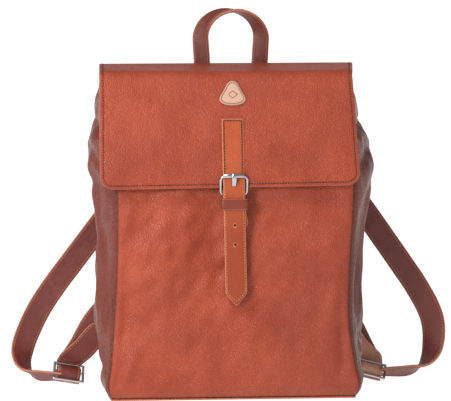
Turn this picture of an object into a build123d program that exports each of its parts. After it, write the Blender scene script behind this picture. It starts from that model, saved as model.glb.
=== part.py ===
from build123d import *
from math import cos, pi, radians, sin, sqrt
import os

# Leather backpack, millimetres. +Z is up, the front faces -Y, and the origin is the centre of the base.

# ---- bag walls: heights of the sections, and the outline's driving sizes at each ----
BASE_THICK = 2.5
HEIGHTS = [2.6, 12, 36, 90, 150, 210, 262, 310, 366]
# How far the front seams and the gussets' middles reach to each side: the filled bag leans a little.
FRONT_REACH = {
    "left": [139, 143, 140.5, 136, 132.5, 131.5, 133, 136, 140],
    "right": [139, 143, 139, 131, 131.5, 135, 136, 132, 127],
}
SIDE_REACH = {
    "left": [143, 147.5, 148, 154, 152.5, 153.5, 161.5, 156.5, 147],
    "right": [143, 148.5, 148.5, 149.5, 149.5, 155, 162.5, 149, 136],
}
BACK_HALF = [139, 143, 143, 141, 140, 140, 140, 140, 139]
FRONT_Y = [-54, -59, -60, -58.5, -56.5, -55, -53, -50, -47]
FRONT_CROWN = [0, 1, 3, 4.5, 4, 3, 1.5, 0, 0]
BACK_Y = [53, 57.5, 58, 58, 58, 58, 58, 58, 58]
LEATHER = 2.0
SEAM_GAP = 0.1
LINING_INSET = 3.3
LINING_THICK = 0.8
PADDING_THICK = 3.0
FACING_BOTTOM = 334.0

# ---- flap ----
FLAP_HINGE = (54.0, 372.0)
FLAP_FOLD = (-52.0, 370.0)
FLAP_THICK = 3.0
FLAP_LINING = 0.8
# The flap's left and right edges at the hinge, at the fold and at its lower edge.
FLAP_EDGES = {"hinge": (-147.5, 145.0), "fold": (-150.0, 132.5), "low": (-150.5, 141.5)}
FLAP_LOW_Z = 244.0
FLAP_LOW_Y = -66.0
FLAP_CORNER = 15.0
FOLD_GAP = 1.0
LINING_MARGIN = 2.0

# ---- closure ----
STRAP_HALF = 12.5
STRAP_THICK = 2.2
CLOSURE_TOP_Z = 324.0
CLOSURE_SPLIT_Z = 263.0
CLOSURE_TIP_Z = 108.0
HOLES_Z = (224.5, 202.0, 180.0)
HOLE_R = 1.4
PRONG_SLOT_HALF = 2.9
PRONG_SLOT_Z = (237.8, 249.4)
PRONG_HALF = 2.1
PRONG_THICK = 2.2
HINGE_BAR = (-66.6, 236.0)
HINGE_BAR_R = 1.6
OUTER_BAR = (-70.6, 257.2)
OUTER_BAR_R = 2.6
SIDE_WIRE_R = 1.5
SIDE_WIRE_X = 14.7
TAB_THICK = 1.6
TAB_LOW_Z = 196.6
KEEPER_Z = (219.5, 232.0)
KEEPER_Y = (-73.7, -64.4)
KEEPER_HALF = 13.2
KEEPER_WALL = 1.4
SNAP_Z = 206.0
SNAP_R = 9.0
SOCKET_THICK = 4.2
STUD_R = 2.8
BADGE_Z = (338.6, 368.8)
BADGE_HALF = 19.3
BADGE_THICK = 1.6
BADGE_CORNER = 5.5

# ---- handle ----
HANDLE_X = 33.0
HANDLE_SHIFT = 4.6
HANDLE_Y = 61.0
HANDLE_HINGE_Z = 366.0
HANDLE_SPRING_Z = 401.0
HANDLE_HALF = 9.5
HANDLE_THICK = 3.6
HANDLE_RISE = 32.0
LEG_TWIST = 18.0
ROOT_Y = (58.2, 61.2)
ROOT_Z = (341.0, 364.4)
YOKE_HALF = 62.0
YOKE_Y = (61.5, 63.3)
YOKE_Z = (329.0, 361.5)

# ---- shoulder straps ----
SWING_X = 118.0
BAND_HALF = 14.0
BAND_THICK = 3.0
TAIL_HALF = 13.6
TAIL_THICK = 2.4
ANCHOR_HALF = 13.4
ANCHOR_THICK = 2.6
# How the tail and the anchor strap run through the slide: (up the strap, out of the slide's face).
TAIL_WEAVE = [(-12, -3.6), (-9, -3.2), (-3.6, 4.6), (0, 5.8), (3.6, 4.6), (9, -3.2), (12, -3.7), (17, -3.5)]
ANCHOR_WEAVE = [(0.8, -3.1), (6, -5.6), (11, -7.4), (17, -8.0)]
PATCH_DEEP = 22.0
PATCH_Y = (58.2, 60.2)
PATCH_Z = (97.0, 143.0)
SWING_GAP = 2.0
BACK_LAYER_Y = 59.9
BAR_R = 1.5
BAR_PITCH = 10.5
SLIDE_HALF = 17.0


def lerp(values, z):
    """The value at height z of a size given at each of HEIGHTS."""
    for low, high, a, b in zip(HEIGHTS, HEIGHTS[1:], values, values[1:]):
        if z <= high:
            return a + (b - a) * (z - low) / (high - low)
    return values[-1]


def wall_points(wall, z, inset, count=9):
    """Points along one wall of the bag's section at height z, moved in by inset, anticlockwise from above."""
    back = lerp(BACK_HALF, z) - inset
    y_front = lerp(FRONT_Y, z) + inset
    y_back = lerp(BACK_Y, z) - inset
    shares = [i / (count - 1) for i in range(count)]
    if wall == "front":
        crown = lerp(FRONT_CROWN, z)
        left = inset - lerp(FRONT_REACH["left"], z)
        right = lerp(FRONT_REACH["right"], z) - inset
        return [(left + (right - left) * u, y_front - crown * sin(pi * u), z) for u in shares]
    if wall == "back":
        return [(back * (1 - 2 * u), y_back, z) for u in shares]
    front = lerp(FRONT_REACH[wall], z) - inset
    side = lerp(SIDE_REACH[wall], z) - inset
    bulge = side - (front + back) / 2
    rising = [
        (front + (back - front) * u + bulge * sin(pi * u) ** 0.8, y_front + (y_back - y_front) * u, z)
        for u in shares
    ]
    if wall == "right":
        return rising
    return [(-x, y, z) for x, y, z in reversed(rising)]


def polygon(points):
    return Wire.make_polygon([Vector(*p) for p in points], close=True)


def ruled(sections):
    """A closed solid through sections of equal point count, straight from each to the next."""
    return Solid.make_loft([polygon(s) for s in sections], ruled=True)


def wall_panel(wall, low_z, high_z, inset, thick):
    """One curved wall panel between two heights, mitred at its seams with a small seam gap."""
    levels = [low_z] + [z for z in HEIGHTS if low_z < z < high_z] + [high_z]
    shift = {"right": SEAM_GAP, "left": -SEAM_GAP}.get(wall, 0.0)
    sections = []
    for z in levels:
        outer = wall_points(wall, z, inset)
        inner = wall_points(wall, z, inset + thick)
        sections.append([(x + shift, y, z) for x, y, z in outer + inner[::-1]])
    return ruled(sections)


def ring_points(z, inset, back_inset=0.0):
    """The whole closed outline of the bag's section at height z, moved in by inset."""
    points = []
    for wall in ("front", "right", "back", "left"):
        for x, y, level in wall_points(wall, z, inset)[:-1]:
            points.append((x, min(y, lerp(BACK_Y, z) - inset - back_inset), level))
    return points


def ring(low_z, high_z, inset, thick, back_inset, overrun):
    """A tube that follows the walls: open at the top, and at the bottom too unless overrun is 0."""
    levels = [low_z] + [z for z in HEIGHTS if low_z < z < high_z] + [high_z]
    outer = ruled([ring_points(z, inset, back_inset) for z in levels])
    floor = low_z - overrun if overrun else low_z + thick
    inside = [floor] + [z for z in levels if floor < z < high_z] + [high_z + 1]
    inner_sections = []
    for z in inside:
        level = min(max(z, low_z), high_z)
        section = ring_points(level, inset + thick, back_inset)
        inner_sections.append([(x, y, z) for x, y, _ in section])
    return outer - ruled(inner_sections)


def plate(points, low_z, high_z):
    """A flat plate of the given outline."""
    return ruled([[(x, y, low_z) for x, y, _ in points], [(x, y, high_z) for x, y, _ in points]])


def box(x0, x1, y0, y1, z0, z1):
    return Pos((x0 + x1) / 2, (y0 + y1) / 2, (z0 + z1) / 2) * Box(x1 - x0, y1 - y0, z1 - z0)


def rod_x(y, z, radius, half_length):
    """A cylinder along X."""
    return Pos(0, y, z) * Rot(0, 90, 0) * Cylinder(radius, 2 * half_length)


# ---------------------------------------------------------------- bag
def bag_parts():
    parts = {
        "front_panel": wall_panel("front", HEIGHTS[0], HEIGHTS[-1], 0, LEATHER),
        "right_gusset": wall_panel("right", HEIGHTS[0], HEIGHTS[-1], 0, LEATHER),
        "back_panel": wall_panel("back", HEIGHTS[0], HEIGHTS[-1], 0, LEATHER),
        "left_gusset": wall_panel("left", HEIGHTS[0], HEIGHTS[-1], 0, LEATHER),
    }
    base_z = HEIGHTS[0]
    parts["base_panel"] = plate(ring_points(base_z, 0), 0, BASE_THICK)
    parts["base_board"] = plate(ring_points(base_z, LEATHER + 0.5), BASE_THICK + 0.1, BASE_THICK + 2.1)
    back_gap = PADDING_THICK + 0.4
    parts["lining"] = ring(
        BASE_THICK + 2.4, FACING_BOTTOM - 0.3, LINING_INSET, LINING_THICK, back_gap, 0
    )
    parts["mouth_facing"] = ring(FACING_BOTTOM, HEIGHTS[-1], LEATHER + 0.3, LINING_THICK + 0.4, back_gap, 1)
    padding_y = lerp(BACK_Y, 150) - LEATHER - 0.2
    parts["back_padding"] = box(-118, 118, padding_y - PADDING_THICK, padding_y, 40, FACING_BOTTOM - 8)
    return parts


# ---------------------------------------------------------------- flap
def flap_front_plate(thick, offset, inset):
    """The hanging part of the flap: a tapering plate with round lower corners, tilted with the front."""
    fold_y, fold_z = FLAP_FOLD
    drop_y = FLAP_LOW_Y + FLAP_THICK - fold_y
    drop_z = fold_z - FLAP_LOW_Z
    length = sqrt(drop_y**2 + drop_z**2)
    down = Vector(0, drop_y / length, -drop_z / length)
    face = Plane(origin=(0, fold_y, fold_z), x_dir=(1, 0, 0), z_dir=Vector(1, 0, 0).cross(-down))
    top_left, top_right = FLAP_EDGES["fold"]
    low_left, low_right = FLAP_EDGES["low"]
    with BuildPart() as front:
        with BuildSketch(face.offset(offset)) as outline:
            with BuildLine():
                Polyline(
                    (top_left + inset, -FOLD_GAP),
                    (low_left + inset, inset - length),
                    (low_right - inset, inset - length),
                    (top_right - inset, -FOLD_GAP),
                    close=True,
                )
            make_face()
            fillet(outline.vertices().sort_by(Axis.Y)[:2], FLAP_CORNER - inset)
        extrude(amount=thick)
    return front.part


def flap_top_outline(inset):
    """The four corners of the flap's top stretch, anticlockwise from above."""
    front, back = FLAP_FOLD[0] + FOLD_GAP + inset, FLAP_HINGE[0] - inset
    front_left, front_right = FLAP_EDGES["fold"]
    back_left, back_right = FLAP_EDGES["hinge"]
    return [
        (front_left + inset, front, 0),
        (front_right - inset, front, 0),
        (back_right - inset, back, 0),
        (back_left + inset, back, 0),
    ]


def flap_parts():
    fold_z = FLAP_FOLD[1]
    return {
        "flap_top": plate(flap_top_outline(0), fold_z, fold_z + FLAP_THICK),
        "flap_top_lining": plate(flap_top_outline(LINING_MARGIN), fold_z - FLAP_LINING, fold_z),
        "flap_front": flap_front_plate(FLAP_THICK, 0, 0),
        "flap_front_lining": flap_front_plate(FLAP_LINING, -FLAP_LINING, LINING_MARGIN),
    }


def flap_face_y(z):
    """The outer face of the hanging flap at height z."""
    fold_y, fold_z = FLAP_FOLD
    top_y = fold_y - FLAP_THICK
    return top_y + (FLAP_LOW_Y - top_y) * (fold_z - z) / (fold_z - FLAP_LOW_Z)


def badge():
    """A round-cornered triangular patch, apex up, on the flap."""
    low_z, high_z = BADGE_Z
    tilt = (flap_face_y(high_z) - flap_face_y(low_z)) / (high_z - low_z)
    z_dir = Vector(0, -1, tilt).normalized()
    face = Plane(origin=(0, flap_face_y(low_z) - 0.1, low_z), x_dir=(1, 0, 0), z_dir=z_dir)
    with BuildPart() as patch:
        with BuildSketch(face) as outline:
            with BuildLine():
                Polyline((-BADGE_HALF, 0), (BADGE_HALF, 0), (0, high_z - low_z), close=True)
            make_face()
            fillet(outline.vertices(), BADGE_CORNER)
        extrude(amount=BADGE_THICK)
    return patch.part


# ---------------------------------------------------------------- closure
def band_along_z(stations, thick):
    """A vertical band: each station is (half width, y of the middle, z)."""
    sections = []
    for half, y, z in stations:
        front, back = y - thick / 2, y + thick / 2
        sections.append([(-half, front, z), (half, front, z), (half, back, z), (-half, back, z)])
    return ruled(sections)


def closure_upper():
    """The stretch of the closure strap that is stitched on the flap."""
    lift = 0.1 + STRAP_THICK / 2
    ends = (CLOSURE_SPLIT_Z + 1, CLOSURE_TOP_Z)
    stations = [(STRAP_HALF - 0.3, flap_face_y(z) - lift, z) for z in ends]
    return band_along_z(stations, STRAP_THICK)


def closure_lower():
    """The free stretch: under the outer bar, over the hinge bar, through the keeper, to the tip."""
    lift = 0.4 + STRAP_THICK / 2
    over_bar = HINGE_BAR[0] - HINGE_BAR_R - 0.2 - TAB_THICK - 0.5 - STRAP_THICK / 2
    half = STRAP_HALF
    stations = [
        (half, flap_face_y(CLOSURE_SPLIT_Z) - lift, CLOSURE_SPLIT_Z),
        (half, flap_face_y(257) - lift, 257.0),
        (half, over_bar, 240.0),
        (half, over_bar, 216.0),
        (half, -70.0, 190.0),
        (half, -68.5, 122.5),
        (1.2, -68.5, CLOSURE_TIP_Z),
    ]
    strap = band_along_z(stations, STRAP_THICK)
    slot = box(-PRONG_SLOT_HALF, PRONG_SLOT_HALF, over_bar - 8, over_bar + 8, PRONG_SLOT_Z[0], PRONG_SLOT_Z[1])
    strap -= slot.fillet(PRONG_SLOT_HALF - 0.5, slot.edges().filter_by(Axis.Y))
    for z in HOLES_Z:
        strap -= Pos(0, over_bar, z) * Rot(90, 0, 0) * Cylinder(HOLE_R, 12)
    return strap


def buckle_tab():
    """Leather folded round the hinge bar and sewn to itself, with a slot for the prong's eye."""
    y, z = HINGE_BAR
    half = STRAP_HALF - 0.3
    inner = HINGE_BAR_R + 0.2
    outer = inner + TAB_THICK
    with BuildPart() as tab:
        with BuildSketch(Plane.YZ.offset(-half)):
            with Locations((y, z)):
                Circle(outer)
            with Locations((y, (z + TAB_LOW_Z) / 2)):
                Rectangle(2 * TAB_THICK, z - TAB_LOW_Z)
            with Locations((y, z)):
                Circle(inner, mode=Mode.SUBTRACT)
        extrude(amount=2 * half)
        lowest = tab.edges().filter_by(Axis.Y).sort_by(Axis.Z)[:2]
        fillet(lowest, half - 2)
    return tab.part - box(-PRONG_SLOT_HALF, PRONG_SLOT_HALF, y - 5, y + 5, z - 5.5, z + 6)


def buckle_frame():
    """One cast frame: hinge bar, two side wires and the thick outer bar."""
    y0, z0 = HINGE_BAR
    y1, z1 = OUTER_BAR
    frame = rod_x(y0, z0, HINGE_BAR_R, SIDE_WIRE_X) + rod_x(y1, z1, OUTER_BAR_R, SIDE_WIRE_X)
    along = Vector(0, y1 - y0, z1 - z0)
    for side in (-1, 1):
        origin = (side * SIDE_WIRE_X, y0, z0)
        wire = Plane(origin=origin, z_dir=along)
        frame += wire * Cylinder(SIDE_WIRE_R, along.length, align=(Align.CENTER, Align.CENTER, Align.MIN))
        frame += Pos(*origin) * Sphere(HINGE_BAR_R)
        frame += Pos(side * SIDE_WIRE_X, y1, z1) * Sphere(OUTER_BAR_R)
    return frame


def prong():
    """A flat tongue that pivots on the hinge bar and rests on the outer bar."""
    y, z = HINGE_BAR
    tip_y = OUTER_BAR[0] - OUTER_BAR_R - 0.8 - PRONG_THICK / 2
    eye_in, eye_out = HINGE_BAR_R + 0.15, HINGE_BAR_R + 1.7
    blade = Vector(0, tip_y - y, OUTER_BAR[1] + 1 - z)
    start = Vector(0, y, z) + blade.normalized() * eye_in
    face = Plane(origin=start, x_dir=(1, 0, 0), z_dir=blade)
    length = blade.length - eye_in + 2
    body = face * Box(2 * PRONG_HALF, PRONG_THICK, length, align=(Align.CENTER, Align.CENTER, Align.MIN))
    body += rod_x(y, z, eye_out, PRONG_HALF)
    return body - rod_x(y, z, eye_in, PRONG_HALF + 1)


def keeper():
    """A leather loop round the strap and the tab."""
    low, high = KEEPER_Z
    front, back = KEEPER_Y
    half, wall = KEEPER_HALF, KEEPER_WALL
    outer = box(-half - wall, half + wall, front - wall, back + wall, low, high)
    outer = outer.fillet(wall - 0.2, outer.edges().filter_by(Axis.Z))
    return outer - box(-half, half, front, back, low - 1, high + 1)


def front_at(z):
    """The front panel's outer face on the centre line at height z."""
    return lerp(FRONT_Y, z) - lerp(FRONT_CROWN, z)


def disc(plane, low, high, radius):
    """A round disc from low to high along the plane's normal."""
    return plane * Pos(0, 0, (low + high) / 2) * Cylinder(radius, high - low)


def snap_parts():
    """The magnetic snap: socket on the front panel, stud on the tab, washer behind the panel."""
    slope = (front_at(SNAP_Z + SNAP_R) - front_at(SNAP_Z - SNAP_R)) / (2 * SNAP_R)
    panel = Plane(origin=(0, front_at(SNAP_Z), SNAP_Z), x_dir=(1, 0, 0), z_dir=(0, -1, slope))
    tab = Plane(origin=(0, HINGE_BAR[0] + TAB_THICK, SNAP_Z), x_dir=(1, 0, 0), z_dir=(0, 1, 0))
    socket = disc(panel, 0.15, SOCKET_THICK, SNAP_R) - disc(panel, 1, SOCKET_THICK + 1, STUD_R + 1.8)
    stud = disc(tab, 0.05, 1.4, SNAP_R - 1) + disc(tab, 1.4, 3.2, STUD_R)
    washer = disc(panel, -LEATHER - 0.95, -LEATHER - 0.35, SNAP_R)
    return {"snap_socket": socket, "snap_stud": stud, "snap_washer": washer}


# ---------------------------------------------------------------- bands
def unit(v):
    return v.normalized()


def band(stations, thick):
    """A flat band through stations of (middle, half width vector, face normal)."""
    sections = []
    for middle, across, normal in stations:
        shift = unit(normal) * (thick / 2)
        corners = [
            middle - across - shift,
            middle + across - shift,
            middle + across + shift,
            middle - across + shift,
        ]
        sections.append([tuple(c) for c in corners])
    return ruled(sections)


def smooth(points, steps):
    """A Catmull-Rom curve through vectors, steps per span."""
    padded = [points[0] * 2 - points[1]] + points + [points[-1] * 2 - points[-2]]
    out = []
    for a, b, c, d in zip(padded, padded[1:], padded[2:], padded[3:]):
        for i in range(steps):
            u = i / steps
            out.append(
                (b * 2 + (c - a) * u + (a * 2 - b * 5 + c * 4 - d) * u**2 + (b * 3 - a - c * 3 + d) * u**3) / 2
            )
    return out + [points[-1]]


def stations_along(middles, widths, half):
    """Stations of a band: each width direction is squared to the line of the middles."""
    stations = []
    for i, (middle, width) in enumerate(zip(middles, widths)):
        tangent = unit(middles[min(i + 1, len(middles) - 1)] - middles[max(i - 1, 0)])
        width = unit(width - tangent * width.dot(tangent))
        stations.append([middle, width * half, tangent.cross(width)])
    return stations


def run_band(route, first):
    """A strap along a route of (middle, width direction). first is the half width vector of its cut start."""
    middles = smooth([Vector(*m) for m, _ in route], 3)
    widths = smooth([Vector(*w) for _, w in route], 3)
    stations = stations_along(middles, widths, BAND_HALF)
    stations[0][1] = Vector(*first)
    return band(stations, BAND_THICK)


# ---------------------------------------------------------------- handle
def handle_stations():
    """Legs face-on at the yoke, twisting until the top of the arch lies flat."""
    stations = []
    leg_low = HANDLE_HINGE_Z + 1.2
    for z in (leg_low, leg_low + 12, leg_low + 24):
        share = (z - leg_low) / (HANDLE_SPRING_Z - leg_low)
        stations.append((Vector(-HANDLE_X - 2 * share, HANDLE_Y, z), Vector(-1, 0, 0), LEG_TWIST * share))
    for degrees in range(0, 91, 15):
        a = radians(degrees)
        out = Vector(-cos(a), 0, sin(a))
        middle = Vector(-(HANDLE_X + 2) * cos(a), HANDLE_Y, HANDLE_SPRING_Z + HANDLE_RISE * sin(a))
        stations.append((middle, out, LEG_TWIST + (90 - LEG_TWIST) * degrees / 90))
    built = []
    for middle, out, twist in stations:
        tangent = Vector(0, 1, 0).cross(out)
        across = out * cos(radians(twist)) + Vector(0, 1, 0) * sin(radians(twist))
        built.append((middle, across * HANDLE_HALF, tangent.cross(across)))
    mirrored = []
    for middle, across, normal in reversed(built[:-1]):
        mirrored.append(tuple(Vector(-v.X, v.Y, v.Z) for v in (middle, across, normal)))
    return built + mirrored


def handle_parts():
    """The arch, its two sewn ends and the yoke that covers them."""
    roots = []
    for middle in (HANDLE_SHIFT - HANDLE_X, HANDLE_SHIFT + HANDLE_X):
        low, high = middle - HANDLE_HALF, middle + HANDLE_HALF
        roots.append(box(low, high, ROOT_Y[0], ROOT_Y[1], ROOT_Z[0], ROOT_Z[1]))
    left, right = HANDLE_SHIFT - YOKE_HALF, HANDLE_SHIFT + YOKE_HALF
    return {
        "handle": Pos(HANDLE_SHIFT, 0, 0) * band(handle_stations(), HANDLE_THICK),
        "handle_ends": Compound(children=roots),
        "back_yoke": box(left, right, YOKE_Y[0], YOKE_Y[1], YOKE_Z[0], YOKE_Z[1]),
    }


# ---------------------------------------------------------------- shoulder straps
LEFT = {
    "side": -1,
    "top": (-50, 331),
    "swing_z": 225.0,
    "free": [
        ((-160, 60.6, 169), (0.80, 0, -0.60)),
        ((-178, 61.5, 145), (0.81, 0, -0.59)),
        ((-199, 62.5, 117), (0.83, 0, -0.55)),
        ((-217.5, 64, 89), (0.88, 0, -0.47)),
        ((-231, 65, 61.5), (0.93, 0.08, -0.35)),
        ((-238, 64.5, 41), (0.93, 0.30, -0.20)),
        ((-238.5, 61, 26), (0.70, 0.70, -0.10)),
        ((-232, 56, 15), (0.40, 0.85, -0.35)),
        ((-220, 52.5, 10.5), (0.10, 0.83, -0.55)),
        ((-206, 51, 9.5), (0.0, 0.83, -0.56)),
    ],
    "slide": (-185, 48, 14.5),
    "slide_across": (0.97, 0.10, -0.18),
    "slide_up": (0.30, 0.68, 0.66),
    "tail": [(-167, 61, 40), (-156, 61.5, 53), (-146, 61.5, 62)],
    "anchor": [(-172, 66, 41), (-157, 66.5, 68), (-143, 65, 86)],
    "anchor_end": (-120, 61.7, 112),
}
RIGHT = {
    "side": 1,
    "top": (58, 334),
    "swing_z": 256.0,
    "free": [
        ((160, 60.6, 200), (-0.80, 0, -0.60)),
        ((184, 61.5, 166), (-0.81, 0, -0.59)),
        ((203.5, 62.5, 138), (-0.82, 0, -0.57)),
        ((222.5, 64, 110), (-0.85, 0.05, -0.52)),
        ((238, 65, 82), (-0.88, 0.15, -0.40)),
        ((244, 65, 61), (-0.88, 0.30, -0.20)),
        ((243.5, 63, 40), (-0.80, 0.55, -0.05)),
        ((238.5, 59.5, 25.5), (-0.60, 0.75, -0.15)),
        ((228, 56, 14.5), (-0.35, 0.85, -0.40)),
        ((212, 53.5, 10), (0.0, 0.83, -0.56)),
        ((190, 52, 9.5), (0.0, 0.83, -0.56)),
    ],
    "slide": (168, 49, 14),
    "slide_across": (-0.96, 0.05, 0.25),
    "slide_up": (-0.20, 0.72, 0.62),
    "tail": [(155, 61.8, 37), (148, 62, 47), (141, 62, 57)],
    "anchor": [(160, 66.6, 37), (148, 66.8, 62), (138, 65.5, 80)],
    "anchor_end": (120, 61.7, 112),
}


def slide_frame(s):
    """Origin and three directions of a slide: along its bars, up the strap, and towards its face."""
    across = unit(Vector(*s["slide_across"]))
    up = Vector(*s["slide_up"])
    up = unit(up - across * up.dot(across))
    face = across.cross(up) * -s["side"]
    return Vector(*s["slide"]), across, up, face


def slide(s):
    """Three round bars between two round side wires."""
    origin, across, up, face = slide_frame(s)
    place = Plane(origin=origin, x_dir=across, z_dir=face)
    whole = Plane(origin=origin, x_dir=up, z_dir=across)
    pitch = BAR_PITCH
    piece = None
    for step in (-1, 0, 1):
        bar = whole * Pos(step * pitch, 0, 0) * Cylinder(BAR_R, 2 * SLIDE_HALF)
        piece = bar if piece is None else piece + bar
    for end in (-1, 1):
        wire = Rot(90, 0, 0) * Cylinder(BAR_R, 2 * pitch)
        piece += place * Pos(end * SLIDE_HALF, 0, 0) * wire
        for corner in (-1, 1):
            piece += place * Pos(end * SLIDE_HALF, corner * pitch, 0) * Sphere(BAR_R)
    return piece


def from_slide(s, up_by, out_by):
    """A point on the slide's middle plane, up the strap and out of its face."""
    origin, _, up, face = slide_frame(s)
    return origin + up * up_by + face * out_by


def woven(s, weave, after, shares):
    """Middles and width directions of a band woven through the slide that then follows the points after it."""
    across = slide_frame(s)[1]
    flat = Vector(-0.84 * s["side"], 0, -0.5)
    middles = [from_slide(s, up_by, out_by) for up_by, out_by in weave] + [Vector(*p) for p in after]
    return middles, [across] * len(weave) + [across * (1 - k) + flat * k for k in shares]


def tail(s):
    """The strap's end: behind the lower bar, over the middle bar, behind the upper bar, and up."""
    middles, widths = woven(s, TAIL_WEAVE, s["tail"], (0.5, 1, 1))
    return band(stations_along(middles, widths, TAIL_HALF), TAIL_THICK)


def anchor_strap(s):
    """Looped on the middle bar, then up behind the bag to the swing line."""
    middles, widths = woven(s, ANCHOR_WEAVE, s["anchor"] + [s["anchor_end"]], (0.6, 1, 1, 1))
    stations = stations_along(middles, widths, ANCHOR_HALF)
    stations[-1][1] = Vector(0, 0, -ANCHOR_HALF / 0.77)
    origin, across, _, _ = slide_frame(s)
    loop = Plane(origin=origin, z_dir=across)
    inner = BAR_R + 0.25
    strap = band(stations, ANCHOR_THICK) + loop * Cylinder(inner + 2, 2 * ANCHOR_HALF)
    return strap - loop * Cylinder(inner, 2 * ANCHOR_HALF + 2)


def strap_parts(s):
    """Everything on one side: the fixed run on the back, the free strap, slide, tail and anchor."""
    side = s["side"]
    name = "left" if side < 0 else "right"
    cut, gap = side * SWING_X, side * SWING_GAP
    top = Vector(s["top"][0], BACK_LAYER_Y, s["top"][1])
    low_end = Vector(cut - gap, BACK_LAYER_Y, s["swing_z"])
    along = unit(Vector(cut, BACK_LAYER_Y, s["swing_z"]) - top)
    across = Vector(-side * abs(along.Z), 0, -abs(along.X)) * BAND_HALF
    cut_across = Vector(0, 0, -BAND_HALF / abs(along.X))
    normal = Vector(0, 1, 0)
    start = ((cut + gap, BACK_LAYER_Y + 0.1, s["swing_z"]), (-side * 0.8, 0, -0.6))
    patch_x = sorted((cut - gap, cut - gap - side * PATCH_DEEP))
    return {
        f"{name}_strap_upper": band([(top, across, normal), (low_end, cut_across, normal)], BAND_THICK),
        f"{name}_shoulder_strap": run_band([start] + s["free"], cut_across),
        f"{name}_strap_tail": tail(s),
        f"{name}_slide": slide(s),
        f"{name}_anchor_strap": anchor_strap(s),
        f"{name}_anchor_patch": box(*patch_x, *PATCH_Y, *PATCH_Z),
    }


def all_parts():
    parts = {**bag_parts(), **flap_parts(), **handle_parts(), **snap_parts()}
    parts["badge"] = badge()
    parts["closure_strap_upper"] = closure_upper()
    parts["closure_strap"] = closure_lower()
    parts["buckle_tab"] = buckle_tab()
    parts["buckle_frame"] = buckle_frame()
    parts["buckle_prong"] = prong()
    parts["keeper"] = keeper()
    parts.update(strap_parts(LEFT))
    parts.update(strap_parts(RIGHT))
    return parts


os.makedirs("parts", exist_ok=True)
for node, shape in all_parts().items():
    export_step(shape, f"parts/{node}.step")
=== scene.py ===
from math import cos, pi, radians, sin

import bpy
import numpy as np
from mathutils import Matrix, Vector


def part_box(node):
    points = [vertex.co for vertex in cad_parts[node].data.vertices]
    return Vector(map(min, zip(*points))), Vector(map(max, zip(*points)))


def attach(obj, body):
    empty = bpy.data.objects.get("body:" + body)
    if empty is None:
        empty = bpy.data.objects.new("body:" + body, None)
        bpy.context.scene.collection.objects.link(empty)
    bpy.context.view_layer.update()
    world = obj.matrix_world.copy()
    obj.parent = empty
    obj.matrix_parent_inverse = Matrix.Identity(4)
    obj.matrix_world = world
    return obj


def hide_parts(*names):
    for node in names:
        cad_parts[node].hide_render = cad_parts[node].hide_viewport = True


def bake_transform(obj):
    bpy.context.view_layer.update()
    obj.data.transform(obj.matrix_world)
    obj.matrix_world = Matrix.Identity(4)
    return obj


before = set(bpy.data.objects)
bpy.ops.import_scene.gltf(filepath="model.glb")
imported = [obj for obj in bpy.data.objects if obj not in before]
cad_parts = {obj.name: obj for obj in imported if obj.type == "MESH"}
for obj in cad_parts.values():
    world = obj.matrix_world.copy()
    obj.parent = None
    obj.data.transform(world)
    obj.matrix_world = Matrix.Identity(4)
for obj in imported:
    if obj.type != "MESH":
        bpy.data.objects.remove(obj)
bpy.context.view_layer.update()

# The looks of a leather backpack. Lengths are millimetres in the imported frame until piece() turns them to metres.
MM = 0.001

# ---- the bag's outline, as in the CAD part: heights of the sections and the sizes at each ----
HEIGHTS = [2.6, 12, 36, 90, 150, 210, 262, 310, 366]
FRONT_REACH = {
    "left": [139, 143, 140.5, 136, 132.5, 131.5, 133, 136, 140],
    "right": [139, 143, 139, 131, 131.5, 135, 136, 132, 127],
}
SIDE_REACH = {
    "left": [143, 147.5, 148, 154, 152.5, 153.5, 161.5, 156.5, 147],
    "right": [143, 148.5, 148.5, 149.5, 149.5, 155, 162.5, 149, 136],
}
BACK_HALF = [139, 143, 143, 141, 140, 140, 140, 140, 139]
FRONT_Y = [-54, -59, -60, -58.5, -56.5, -55, -53, -50, -47]
FRONT_CROWN = [0, 1, 3, 4.5, 4, 3, 1.5, 0, 0]
BACK_Y = [53, 57.5, 58, 58, 58, 58, 58, 58, 58]
RIM_Z = HEIGHTS[-1]
FLOOR_Z = HEIGHTS[0]
LEATHER, CLOTH_THICK = 2.0, 0.8
FACING_LOW = 334.0
PAD_HALF, PAD_SEAM_Z = 118, (44, 322)

# ---- flap and closure ----
FLAP_EDGES = {"hinge": (-147.5, 145.0), "fold": (-150.0, 132.5), "low": (-150.5, 141.5)}
FLAP_WIDE = 145.0
FLAP_TOP_Z, FLAP_LOW_Z = 373.4, 243.6
FLAP_THICK = 2.6
FLAP_CORNER = 15.0
FLAP_SEAM_IN = 4.0
FLAP_LINING_FROM, FLAP_LINING_IN, FLAP_LINING_GAP = 34.0, 7.0, 0.4
STRAP_HALF = 12.1
STRAP_THICK = 2.2
HINGE_BAR = (-66.6, 236.0)
OUTER_BAR = (-70.6, 257.2)
HOLES_Z = (224.5, 202.0, 180.0)
BUCKLE_SHIFT = -1.2

# ---- handle and shoulder straps ----
HANDLE_X, HANDLE_Y = 33.0, 61.2
HANDLE_SHIFT = 4.6
HANDLE_SPRING_Z = 401.0
HANDLE_HALF, HANDLE_THICK = 9.5, 3.6
BAND_HALF = 14.0
BAND_THICK = 3.0
SWING_X = 118.0

STITCH_PITCH = 3.2
EDGE_STEPS = np.array([0.0, 0.3, 0.8, 1.6])


# ------------------------------------------------------------------ numbers and curves
def unit(v):
    return v / np.linalg.norm(v, axis=-1, keepdims=True)


def clamp(x):
    return np.clip(x, 0, 1)


def ease(low, high, x):
    """0 at low, 1 at high, smooth between; low may be the greater."""
    t = clamp((x - low) / (high - low))
    return t * t * (3 - 2 * t)


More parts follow.
